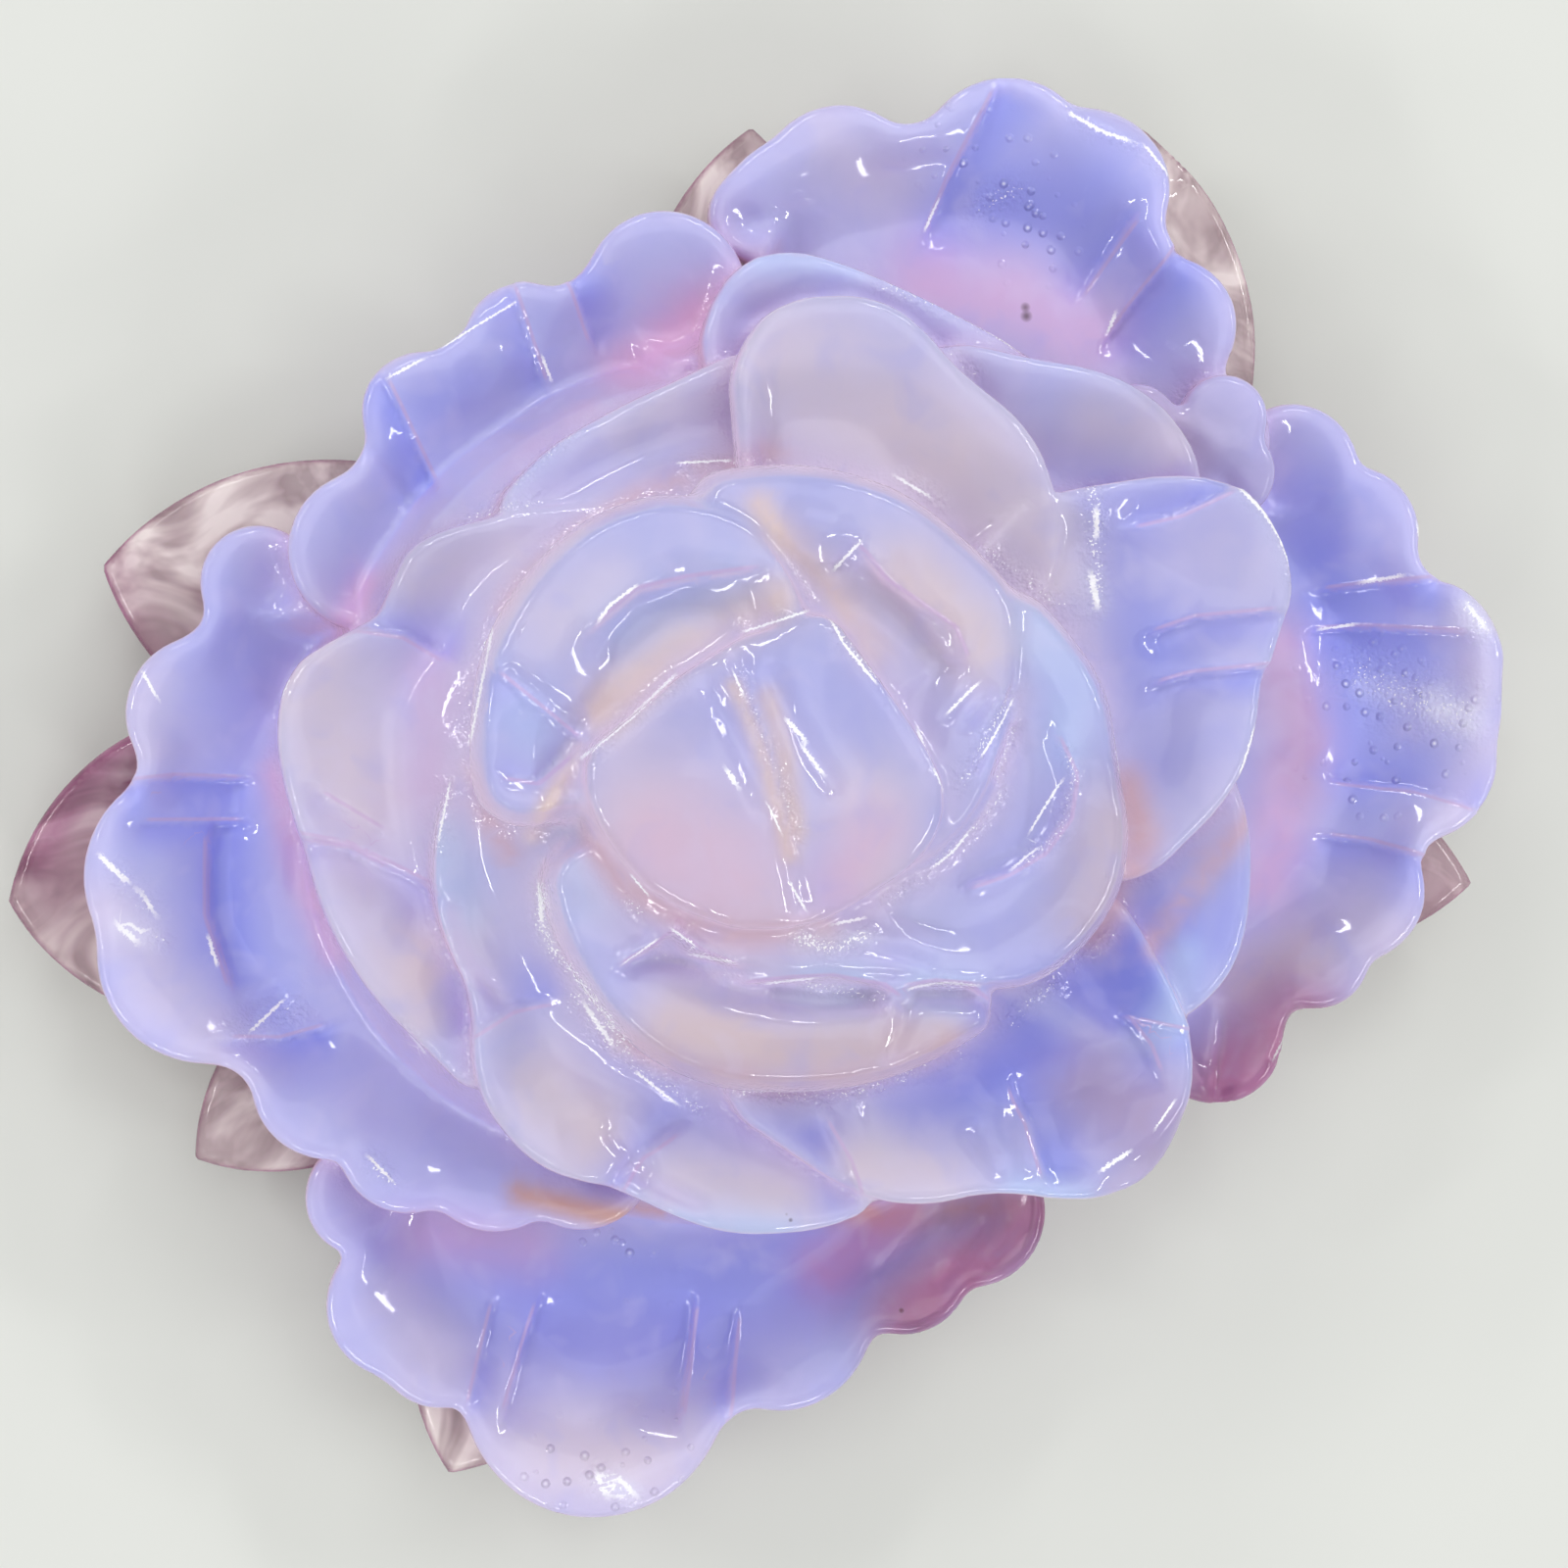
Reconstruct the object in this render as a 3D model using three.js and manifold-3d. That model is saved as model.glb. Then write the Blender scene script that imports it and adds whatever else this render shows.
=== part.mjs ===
// An open rose carved from one piece of milky, translucent stone, polished all over.
// The flower faces +Z and rests on the flat face ground under it. The origin is the middle of that face.
// Bearings are in degrees from +X towards +Y. Lengths are in millimetres.
import * as THREE from 'three';
import { mergeVertices } from 'three/addons/utils/BufferGeometryUtils.js';
import Module from 'manifold-3d';

// The stone under the petals, as a turned outline of radius and height. It starts with the resting face.
const RESTING_RADIUS = 36;
const HEART_OUTLINE = [[0, 0], [RESTING_RADIUS, 0], [38.5, 1.5], [40, 6], [36, 14], [33, 19], [26, 25],
  [13, 33], [0, 35]];
const HEART_SIDES = 40;

// Pointed leaves under the flower: bearing and distance of the tip, heading of the leaf, length, half width.
const LEAVES = [
  [58, 67, 84, 42, 12.5],
  [88.5, 56, 88, 36, 9],
  [125, 42, 125, 22, 8],
  [161.5, 56, 170, 43, 13],
  [189.5, 61.5, 189, 38, 13.5],
  [215, 55.5, 214, 30, 8],
  [247.5, 63.5, 245, 36, 10],
  [285, 46, 285, 24, 8],
  [318, 43, 318, 22, 8],
  [352, 66, 350, 38, 9.5],
  [22, 58, 22, 32, 9],
];
const LEAF_ARC_STEPS = 7;
// A leaf's section from below to above: share of its outline, and height. It rises towards its tip.
const LEAF_SECTION = [[0.8, 1.6], [0.97, 2.6], [1, 4.4], [0.9, 6.2], [0.55, 7]];
const LEAF_RISE = 3.2;
const LEAF_RISE_FROM = 34;
const LEAF_RISE_TO = 66;

// A petal's edge is a row of round lobes: bearing, distance of the lobe's middle, radius, lift of its rim.
// The upper petals have smooth edges, so their lobes are small and close together.
// rim is the height of the edge and dish is how deep the top is hollowed. The hollow starts at lip from the
// edge and ends at reach. edge is the thickness there, and undercut and slope cut in and down below it. notch
// is how far the web between two lobes is from their tips. across places the columns of faces on a lobe, in
// shares of its radius.
const OUTER = {
  edge: 3.4, lip: 1.6, reach: 11, notch: 2.6, undercut: 9, slope: 0.85, across: [-0.82, -0.4, 0, 0.4, 0.82],
};
const MIDDLE = { edge: 3.2, lip: 1.4, reach: 10, notch: 0, undercut: 6.5, slope: 1.15, across: [0] };
const INNER = { edge: 3.4, lip: 4, reach: 8, notch: 0, undercut: 4, slope: 2.2, across: [0] };

const PETALS = [
  { ...OUTER, rim: 13.5, dish: 4, lobes: [[228, 46.5, 5, 0], [237, 52, 6.1, -0.5], [242, 53, 5.5, -0.5],
    [256.5, 52, 11.1, 0], [274.5, 45.5, 7.7, 0.5], [289, 43.5, 5.9, -0.5], [298.5, 42, 6.4, -1.5]] },
  { ...OUTER, rim: 15, dish: 4.5, lobes: [[332, 46.5, 6, -1.5], [343, 52, 4.5, -0.5], [350, 53.5, 6.5, 0],
    [361.5, 58.5, 6.8, 0.5], [366, 59.6, 6.4, 0.5], [370, 60, 6.8, 0.5], [382, 57, 5.6, 0],
    [389, 54.5, 5.8, -1]] },
  { ...OUTER, rim: 16.5, dish: 4.5, lobes: [[36, 49, 5.1, 0.5], [47, 52.5, 6, 0.5], [59.5, 58, 6.7, 0],
    [66.5, 56, 7.6, 0], [80.5, 50, 7, -0.5], [86, 48.6, 4.6, -0.8], [89, 47, 3.7, -1]] },
  { ...OUTER, rim: 19.5, dish: 2.5, lobes: [[27, 44, 3.6, -1], [32, 48.3, 3.6, 0], [37, 50.3, 3.6, 0],
    [42, 44, 3.6, -0.5]] },
  { ...OUTER, rim: 15.5, dish: 4, lobes: [[158, 43, 4.7, -1], [173, 44.5, 6.3, 0], [190, 45.5, 9, 0],
    [198, 46, 9, 0], [216, 42, 6.4, 0.5], [227, 40.5, 5.8, 1.5], [236, 37, 6.2, 2.5],
    [246, 33.5, 6.1, 4]] },
  { ...OUTER, rim: 18, dish: 4, lobes: [[99.5, 40.5, 6.7, 0.5], [117, 40.5, 4.6, 0], [124, 39, 4.2, 0],
    [131.5, 40, 4.9, 0], [149, 36, 6.5, -0.5]] },
  { ...MIDDLE, rim: 22, dish: 2.4, lobes: [[52, 38, 3, -0.5], [57, 39, 3, 0], [63, 38.7, 3, 0],
    [70, 39, 3, 0], [76, 39.5, 3, 0], [81, 40, 3, 0], [86, 40.5, 3, 0], [89, 40, 3, 0],
    [93, 38.5, 3, -0.3], [97, 34, 3, -1]] },
  { ...MIDDLE, rim: 24, dish: 2.4, lobes: [[24, 40, 3, -0.5], [31, 41, 3, -0.3], [34, 42, 3, 0],
    [37, 42.5, 3, 0], [39, 43, 3, 0], [42, 42.7, 3, 0], [45, 42.4, 3, 0], [50, 41, 3, 0], [57, 38, 3, 0],
    [63, 37, 3, 0], [67, 35.5, 3, 0], [72, 33, 3, -0.5]] },
  { ...MIDDLE, rim: 24.5, dish: 2.4, lobes: [[84, 30, 3, -0.5], [90, 32, 3, 0], [97, 30.5, 3, 0],
    [103, 29.5, 3, 0], [109, 29, 3, 0], [115, 28.5, 3, 0], [120, 28.5, 3, 0], [126, 28, 3, 0],
    [132, 27.5, 3, 0], [137, 27, 3, -0.5]] },
  { ...MIDDLE, rim: 25, dish: 2.4, lobes: [[116, 21.5, 3, 0.5], [124, 23.5, 3, 0.5], [131, 25.5, 3, 0.3],
    [138, 27.5, 3, 0], [144, 30, 3, 0], [149, 30.5, 3, 0], [154, 29.5, 3, 0], [160, 30.5, 3, 0],
    [162, 33, 3, 0], [166, 35, 3, 0], [173, 35.5, 3, 0], [181, 34.5, 3, 0], [187, 33.5, 3, 0],
    [198, 33, 3, 0], [211, 32, 3, 0], [219, 31, 3, -0.5], [231, 31, 3, -1]] },
  { ...MIDDLE, rim: 26, dish: 2, lobes: [[322, 33, 3, 0], [329, 36.5, 3, 0], [333, 38, 3, 0],
    [336, 39, 3, 0], [341, 39.5, 3, 0], [347, 38.7, 3, 0], [354, 38, 3, 0], [360, 36.5, 3, 0],
    [366, 35, 3, 0]] },
  { ...MIDDLE, rim: 27, dish: 2.4, lobes: [[178, 21, 3, 0], [185, 22.5, 3, 0], [193, 23.5, 3, 0],
    [200, 24.5, 3, 0], [208, 25, 3, 0], [217, 25.5, 3, 0], [223, 28, 3, 0], [228, 30.5, 3, 0],
    [234, 31.5, 3, 0], [240, 32.5, 3, 0], [246, 32, 3, 0], [252, 31.5, 3, 0], [259, 32.5, 3, 0],
    [266, 33.5, 3, 0], [279, 33.5, 3, 0], [288, 32.5, 3, -0.5]] },
  { ...MIDDLE, rim: 28, dish: 2.4, lobes: [[262, 23, 3, 0], [268, 24.5, 3, 0], [274, 26.5, 3, 0],
    [279, 29, 3, 0], [284, 31.5, 3, 0], [290, 33.5, 3, 0], [296, 34.5, 3, 0], [300, 35, 3, 0],
    [304, 37.5, 3, 0], [308, 40.5, 3, 0], [312, 42, 3, 0], [317, 42.5, 3, 0], [321, 41.5, 3, 0],
    [327, 39.5, 3, -0.3], [330, 38, 3, -0.5], [333, 36, 3, -0.8], [336, 31.5, 3, -1], [343, 29, 3, -1]] },
  { ...MIDDLE, rim: 29.5, dish: 1.8, lobes: [[343, 28.5, 3, 0], [349, 30.5, 3, 0], [354, 33, 3, 0],
    [359, 35.5, 3, 0], [364, 37, 3, 0], [369, 38, 3, 0], [374, 39.5, 3, 0], [376, 41.5, 3, 0],
    [381, 43.5, 3, 0], [386, 43.5, 3, 0], [391, 43, 3, 0], [394, 41.5, 3, 0], [396.5, 38, 3, -0.2],
    [400, 34, 3, -0.4], [404, 30, 3, -0.6], [408, 27, 3, -0.8]] },
  { ...MIDDLE, rim: 30.5, dish: 2.4, lobes: [[30, 24, 3, -2.5], [37, 27.5, 3, -2], [41, 29, 3, -1.6],
    [47, 31, 3, -1], [52, 32, 3, -0.5], [57, 32.5, 3, 0], [63, 32.7, 3, 0], [68, 34, 3, 0],
    [72, 35.5, 3, 0], [76, 36.2, 3, 0], [82, 35.7, 3, 0], [88, 34.7, 3, 0], [92, 32.5, 3, -0.2],
    [95, 30, 3, -0.6]] },
  { ...INNER, rim: 34, dish: 1.2, lip: 5, reach: 9, lobes: [[196, 15.8, 2.5, 0], [206, 17, 2.5, 0],
    [215, 17.9, 2.5, 0], [227, 19, 2.5, 0], [238, 20.2, 2.5, 0], [248, 21.2, 2.5, 0], [260, 21.9, 2.5, 0],
    [275, 22.2, 2.5, 0], [290, 22.9, 2.5, 0], [305, 23.6, 2.5, 0], [317, 24.4, 2.5, 0]] },
  { ...INNER, rim: 34.8, dish: 1.6, lobes: [[158, 13, 2.5, 0.2], [170, 12.5, 2.5, 0.4],
    [182, 12.1, 2.5, 0.6], [196, 12.1, 2.5, 0.6], [212, 12.3, 2.5, 0.6], [230, 12.9, 2.5, 0.5],
    [247, 13.2, 2.5, 0.4], [264, 13, 2.5, 0.4], [287, 13.7, 2.5, 0.2], [300, 15.6, 2.5, 0],
    [308, 17.8, 2.5, 0], [314, 20, 2.5, 0], [318, 22.6, 2.5, 0], [324, 24.6, 2.5, 0], [333, 26.2, 2.5, 0],
    [342, 27.1, 2.5, 0], [351, 26.8, 2.5, 0], [361, 25.6, 2.5, 0], [375, 25.4, 2.5, 0],
    [386, 24.2, 2.5, 0], [400, 22.6, 2.5, -0.3]] },
  { ...INNER, rim: 35.6, dish: 1.6, lip: 5.5, reach: 10, lobes: [[325, 12, 2.5, 0], [340, 13, 2.5, 0],
    [351, 14.6, 2.5, 0], [361, 15.7, 2.5, 0], [372, 17, 2.5, 0], [382, 18.8, 2.5, 0], [390, 20.6, 2.5, 0],
    [398, 22, 2.5, 0], [411, 21.9, 2.5, 0], [425, 22.3, 2.5, 0], [440, 22.2, 2.5, 0],
    [455, 21.9, 2.5, -0.4], [467, 21.7, 2.5, -0.8]] },
  { ...INNER, rim: 36.4, dish: 2, lip: 5, reach: 10, lobes: [[73, 11.9, 2.5, 0.3], [81, 12.8, 2.5, 0.3],
    [87, 14.4, 2.5, 0.2], [92, 17, 2.5, 0], [98, 18.7, 2.5, 0], [110, 21, 2.5, 0], [125, 22, 2.5, 0],
    [140, 22, 2.5, 0], [155, 21.8, 2.5, 0], [170, 20.9, 2.5, -0.3], [182, 20.4, 2.5, -0.6],
    [192, 19, 2.5, -1]] },
];
const PETAL_HEART = 9;
const HIDDEN_COLUMNS = 5;
const PAST_THE_END = 1.05;
const CLOSEST_COLUMNS = 0.8;
const LEAST_SHARE = 0.35;
const LOWEST_UNDERCUT = 1;

// The closed bud: the radius of its outline at each bearing, its height and how far its sides lean in.
const BUD_OUTLINE = [[9, 12], [26, 11.1], [55, 11.5], [70, 13], [75.5, 12.9], [102.5, 11], [130.5, 10.5],
  [155, 11.6], [172.5, 14.3], [183, 14.3], [194, 13.8], [205, 13.2], [220, 12.7], [236, 12.1], [255, 11.7],
  [273, 11.4], [289, 11.4], [301, 11.3], [325, 12.3], [338, 13], [348.5, 13.2], [358, 12.8]];
const BUD_EDGE_HEIGHT = 37.6;
const BUD_TOP_HEIGHT = 39.8;
const BUD_FOOT_HEIGHT = 30;
const BUD_COLUMNS = 36;

const wasm = await Module();
wasm.setup();

// Polar point at a bearing, a distance from the flower's axis and a height.
function place(bearing, distance, height) {
  const angle = THREE.MathUtils.degToRad(bearing);
  return new THREE.Vector3(distance * Math.cos(angle), distance * Math.sin(angle), height);
}

// A closed geometry as a solid, with shared corners merged and faces of no area left out.
function solid(geometry) {
  const bare = geometry.clone();
  bare.deleteAttribute('normal');
  bare.deleteAttribute('uv');
  const merged = mergeVertices(bare, 1e-4);
  const corners = merged.index.array;
  const kept = [];
  for (let i = 0; i < corners.length; i += 3) {
    const [a, b, c] = [corners[i], corners[i + 1], corners[i + 2]];
    if (a !== b && b !== c && c !== a) {
      kept.push(a, b, c);
    }
  }
  return new wasm.Manifold(new wasm.Mesh({
    numProp: 3,
    vertProperties: new Float32Array(merged.attributes.position.array),
    triVerts: new Uint32Array(kept),
  }));
}

// A turned geometry whose columns and rings are then set one by one. Its first and last rings are single
// points.
function turned(columns, rings, pointAt) {
  const profile = Array.from({ length: rings }, (_, ring) => (
    new THREE.Vector2(ring === 0 || ring === rings - 1 ? 0 : 1, ring)
  ));
  const geometry = new THREE.LatheGeometry(profile, columns);
  const position = geometry.attributes.position;
  for (let column = 0; column <= columns; column += 1) {
    for (let ring = 0; ring < rings; ring += 1) {
      const point = pointAt(column % columns, ring);
      position.setXYZ(column * rings + ring, point.x, point.y, point.z);
    }
  }
  return geometry;
}

// The lobe row at a bearing: how far its tips reach there and the lift of the rim, both eased from lobe to
// lobe.
function alongLobes(petal, bearing) {
  const { lobes } = petal;
  const last = lobes.length - 1;
  const at = THREE.MathUtils.clamp(bearing, lobes[0][0], lobes[last][0]);
  const next = Math.max(1, lobes.findIndex((lobe) => lobe[0] >= at));
  const [from, to] = [lobes[next - 1], lobes[next]];
  const share = (at - from[0]) / (to[0] - from[0]);
  return {
    tip: THREE.MathUtils.lerp(from[1] + from[2], to[1] + to[2], share),
    lift: THREE.MathUtils.lerp(from[3], to[3], share),
  };
}

// How far the petal's edge is from the axis at a bearing: the furthest lobe, or the web between two lobes.
function edgeDistance(petal, bearing) {
  const { lobes, notch } = petal;
  const spansHere = bearing >= lobes[0][0] && bearing <= lobes[lobes.length - 1][0];
  let furthest = spansHere ? alongLobes(petal, bearing).tip - notch : PETAL_HEART;
  for (const [middle, distance, radius] of lobes) {
    const off = THREE.MathUtils.degToRad(bearing - middle);
    const beside = distance * Math.sin(off);
    if (Math.abs(beside) < radius && Math.cos(off) > 0) {
      furthest = Math.max(furthest, distance * Math.cos(off) + Math.sqrt(radius ** 2 - beside ** 2));
    }
  }
  return furthest;
}

// Half the angle that a lobe takes up, seen from the axis.
function halfAngleOf([, distance, radius]) {
  return THREE.MathUtils.radToDeg(Math.asin(radius / distance));
}

// Bearings of a petal's columns: several across each lobe and a few round the hidden back.
function petalColumns({ lobes, across }) {
  const bearings = lobes.flatMap((lobe) => across.map((share) => lobe[0] + share * halfAngleOf(lobe)));
  const [start, end] = [lobes[0], lobes[lobes.length - 1]];
  const first = start[0] - PAST_THE_END * halfAngleOf(start);
  const last = end[0] + PAST_THE_END * halfAngleOf(end);
  for (let step = 0; step <= HIDDEN_COLUMNS; step += 1) {
    bearings.push(last + ((first + 360 - last) * step) / HIDDEN_COLUMNS);
  }
  bearings.sort((a, b) => a - b);
  return bearings.filter((bearing, index) => (
    bearing < bearings[0] + 360 - CLOSEST_COLUMNS
    && (index === 0 || bearing - bearings[index - 1] > CLOSEST_COLUMNS)
  ));
}

// One petal, with the stone under it: a hollowed top, a rounded edge and an undercut below the edge.
function petalSolid(petal) {
  const { rim, dish, edge, lip, reach, undercut, slope } = petal;
  const columns = petalColumns(petal);
  const floor = Math.max(LOWEST_UNDERCUT, rim - edge - undercut * slope - dish);
  // For each ring from the axis below to the axis above: distance in from the edge, and height over the rim.
  const rings = [
    [undercut, -edge - undercut * slope],
    [0.5, -edge],
    [0, -edge * 0.45],
    [lip * 0.35, -0.35],
    [lip, 0],
    [(lip + reach) / 2, -dish * 0.5],
    [reach, -dish],
  ];
  return solid(turned(columns.length, rings.length + 2, (column, ring) => {
    if (ring === 0 || ring === rings.length + 1) {
      return new THREE.Vector3(0, 0, ring === 0 ? floor : rim - dish);
    }
    const bearing = columns[column];
    const furthest = edgeDistance(petal, bearing);
    const sunk = furthest > PETAL_HEART ? 0 : dish;
    const height = rim + alongLobes(petal, bearing).lift - sunk;
    const [inset, rise] = rings[ring - 1];
    const shrink = Math.min(1, (furthest * (1 - LEAST_SHARE)) / reach);
    return place(bearing, furthest - inset * shrink, Math.max(LOWEST_UNDERCUT, height + rise));
  }));
}

// The bud's outline at a bearing, straight from one marked point to the next.
function budRadius(bearing) {
  const count = BUD_OUTLINE.length;
  const turn = (bearing - BUD_OUTLINE[0][0] + 360) % 360 + BUD_OUTLINE[0][0];
  let from = count - 1;
  for (let index = 0; index < count - 1; index += 1) {
    if (turn >= BUD_OUTLINE[index][0] && turn < BUD_OUTLINE[index + 1][0]) {
      from = index;
    }
  }
  const [start, end] = [BUD_OUTLINE[from], BUD_OUTLINE[(from + 1) % count]];
  const width = THREE.MathUtils.degToRad((end[0] - start[0] + 360) % 360);
  const since = THREE.MathUtils.degToRad(turn - start[0]);
  const across = start[1] * Math.sin(since) + end[1] * Math.sin(width - since);
  return (start[1] * end[1] * Math.sin(width)) / across;
}

function budSolid() {
  // For each ring from below to above: share of the outline's radius, and height.
  const rings = [
    [1.15, BUD_FOOT_HEIGHT],
    [1, BUD_EDGE_HEIGHT - 1.2],
    [0.93, BUD_EDGE_HEIGHT],
    [0.6, BUD_TOP_HEIGHT - 0.7],
    [0.3, BUD_TOP_HEIGHT - 0.15],
  ];
  return solid(turned(BUD_COLUMNS, rings.length + 2, (column, ring) => {
    if (ring === 0 || ring === rings.length + 1) {
      return new THREE.Vector3(0, 0, ring === 0 ? BUD_FOOT_HEIGHT : BUD_TOP_HEIGHT);
    }
    const bearing = (360 * column) / BUD_COLUMNS;
    const [share, height] = rings[ring - 1];
    return place(bearing, budRadius(bearing) * share, height);
  }));
}

// A point of a leaf's outline, which runs from its tip round one arc to the root and back round the other.
// The leaf lies along +X there, with its middle at 0.
function leafOutline(length, halfWidth, step) {
  const arcRadius = (halfWidth ** 2 + (length / 2) ** 2) / (2 * halfWidth);
  const halfAngle = Math.asin(length / 2 / arcRadius);
  const side = step < LEAF_ARC_STEPS ? 1 : -1;
  const angle = halfAngle * (1 - (2 * (step % LEAF_ARC_STEPS)) / LEAF_ARC_STEPS);
  const along = side * arcRadius * Math.sin(angle);
  const across = side * (arcRadius * Math.cos(angle) + halfWidth - arcRadius);
  return new THREE.Vector2(along, across);
}

// A pointed leaf between two arcs, with rounded edges, that rises towards its tip.
function leafSolid([tipBearing, tipDistance, heading, length, halfWidth]) {
  const direction = place(heading, 1, 0);
  const middle = place(tipBearing, tipDistance, 0).addScaledVector(direction, -length / 2);
  const rings = [[0, LEAF_SECTION[0][1]], ...LEAF_SECTION, [0, LEAF_SECTION[LEAF_SECTION.length - 1][1]]];
  return solid(turned(2 * LEAF_ARC_STEPS, rings.length, (column, ring) => {
    const [share, height] = rings[ring];
    const { x: along, y: across } = leafOutline(length, halfWidth, column);
    const point = middle.clone();
    point.addScaledVector(direction, along * share);
    point.addScaledVector(place(heading + 90, 1, 0), across * share);
    const distance = Math.hypot(point.x, point.y);
    point.z = height + LEAF_RISE * THREE.MathUtils.smoothstep(distance, LEAF_RISE_FROM, LEAF_RISE_TO);
    return point;
  }));
}

// The stone in the middle, from the resting face up to the bud.
function heartSolid() {
  const profile = HEART_OUTLINE.map(([radius, height]) => new THREE.Vector2(radius, height));
  const geometry = new THREE.LatheGeometry(profile, HEART_SIDES);
  geometry.rotateX(Math.PI / 2);
  return solid(geometry);
}

// A solid's triangles as a geometry.
function geometryOf(manifold) {
  const { vertProperties, triVerts } = manifold.getMesh();
  const geometry = new THREE.BufferGeometry();
  geometry.setAttribute('position', new THREE.BufferAttribute(vertProperties, 3));
  geometry.setIndex(new THREE.BufferAttribute(triVerts, 1));
  geometry.computeVertexNormals();
  return geometry;
}

let flower = heartSolid();
for (const part of [...LEAVES.map(leafSolid), ...PETALS.map(petalSolid), budSolid()]) {
  flower = flower.add(part);
}

const stone = new THREE.MeshStandardMaterial({ color: 0xb7b3e2, roughness: 0.12, metalness: 0 });
const carving = new THREE.Mesh(geometryOf(flower), stone);
carving.name = 'flower_carving';

const group = new THREE.Group();
group.add(carving);

export default group;
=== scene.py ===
# %% [markdown]
# # An open rose carved from one milky stone
# The real thing is one piece of translucent, opalescent stone, cut with a small grinding wheel and
# polished wet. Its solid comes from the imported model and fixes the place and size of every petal. Here it
# gets the surface that a carver leaves: round polished edges, scooped petals, soft creases and clear thin
# ends. Everything below is in the frame of that solid, with the flower facing up. The tables are in
# millimetres, as a carver would measure, and the finished mesh is in metres.

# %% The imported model
import math

import bpy
import numpy as np
import openvdb
from mathutils import Matrix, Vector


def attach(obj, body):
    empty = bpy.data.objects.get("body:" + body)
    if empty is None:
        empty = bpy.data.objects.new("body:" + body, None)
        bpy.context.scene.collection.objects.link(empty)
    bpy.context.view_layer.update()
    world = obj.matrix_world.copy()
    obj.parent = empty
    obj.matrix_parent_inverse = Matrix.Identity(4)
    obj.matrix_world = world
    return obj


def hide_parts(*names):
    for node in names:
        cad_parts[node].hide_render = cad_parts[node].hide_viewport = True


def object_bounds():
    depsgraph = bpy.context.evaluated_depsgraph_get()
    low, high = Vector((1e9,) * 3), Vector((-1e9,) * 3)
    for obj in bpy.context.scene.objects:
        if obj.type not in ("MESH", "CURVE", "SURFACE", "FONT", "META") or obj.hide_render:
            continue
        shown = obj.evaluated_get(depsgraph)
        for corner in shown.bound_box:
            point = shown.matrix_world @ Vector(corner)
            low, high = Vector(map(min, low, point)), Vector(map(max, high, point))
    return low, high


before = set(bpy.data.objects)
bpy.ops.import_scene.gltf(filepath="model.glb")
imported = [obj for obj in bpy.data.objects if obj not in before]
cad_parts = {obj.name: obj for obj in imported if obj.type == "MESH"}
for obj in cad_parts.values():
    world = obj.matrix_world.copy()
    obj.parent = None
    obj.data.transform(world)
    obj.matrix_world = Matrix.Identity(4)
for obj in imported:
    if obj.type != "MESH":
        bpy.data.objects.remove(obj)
cad_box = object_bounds()
MILLIMETRE = 0.001
print("solid's box in mm:", [[round(side / MILLIMETRE, 1) for side in corner] for corner in cad_box])

# %% [markdown]
# ## The camera
# The photograph looks down on the flower from close by, a little from its left. A camera can be placed by
# trying angles until the outline fits, but here the sightline through every pixel is also needed, to
# place grooves and cloudy patches where they are seen. So the view is written as three directions and a
# focal length in pixels, and both the camera and the sightlines come from them.

# %% The camera and the sightline through a pixel
PHOTO_SIDE = 1600
FOCAL_PIXELS = 2986
VIEW_DISTANCE = 239
VIEW_LEAN = math.radians(7)
AIM = np.array([2.8, -0.4, 20.0])
TO_RIGHT = np.array([math.cos(VIEW_LEAN), 0, math.sin(VIEW_LEAN)])
TO_TOP = np.array([0, 1, 0])
TO_EYE = np.array([-math.sin(VIEW_LEAN), 0, math.cos(VIEW_LEAN)])
EYE = AIM + VIEW_DISTANCE * TO_EYE


def seen_at(pixel, height):
    """Where the sightline through a pixel of the photograph is at a height over the resting face."""
    half = PHOTO_SIDE / 2
    sight = TO_RIGHT * (pixel[0] - half) / FOCAL_PIXELS + TO_TOP * (half - pixel[1]) / FOCAL_PIXELS - TO_EYE
    place = EYE + sight * (height - EYE[2]) / sight[2]
    return place[:2]


camera_data = bpy.data.cameras.new("camera")
camera_data.lens = camera_data.sensor_width * FOCAL_PIXELS / PHOTO_SIDE
camera = bpy.data.objects.new("camera", camera_data)
bpy.context.scene.collection.objects.link(camera)
turn = np.eye(4)
turn[:3, 0], turn[:3, 1], turn[:3, 2] = TO_RIGHT, TO_TOP, TO_EYE
turn[:3, 3] = EYE * MILLIMETRE
camera.matrix_world = Matrix(turn.tolist())
bpy.context.scene.camera = camera
print("lens in mm:", round(camera_data.lens, 1), "middle of the photograph at", seen_at((800, 800), 20))

# %% [markdown]
# ## The petals as the carver laid them out
# A petal's edge is a row of round lobes, from where it comes out from under its neighbour to where it
# ends. Each lobe is given as bearing, distance of its middle, radius and lift of its rim. These are the
# same values as in the solid, so the fine surface stays where the solid is. A petal could be drawn as a
# curve and extruded, but the lobes are what a carver marks and grinds, and they make the scalloped edge
# by themselves. The upper petals have smoother edges, so there the lobes are small and close together.

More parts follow.
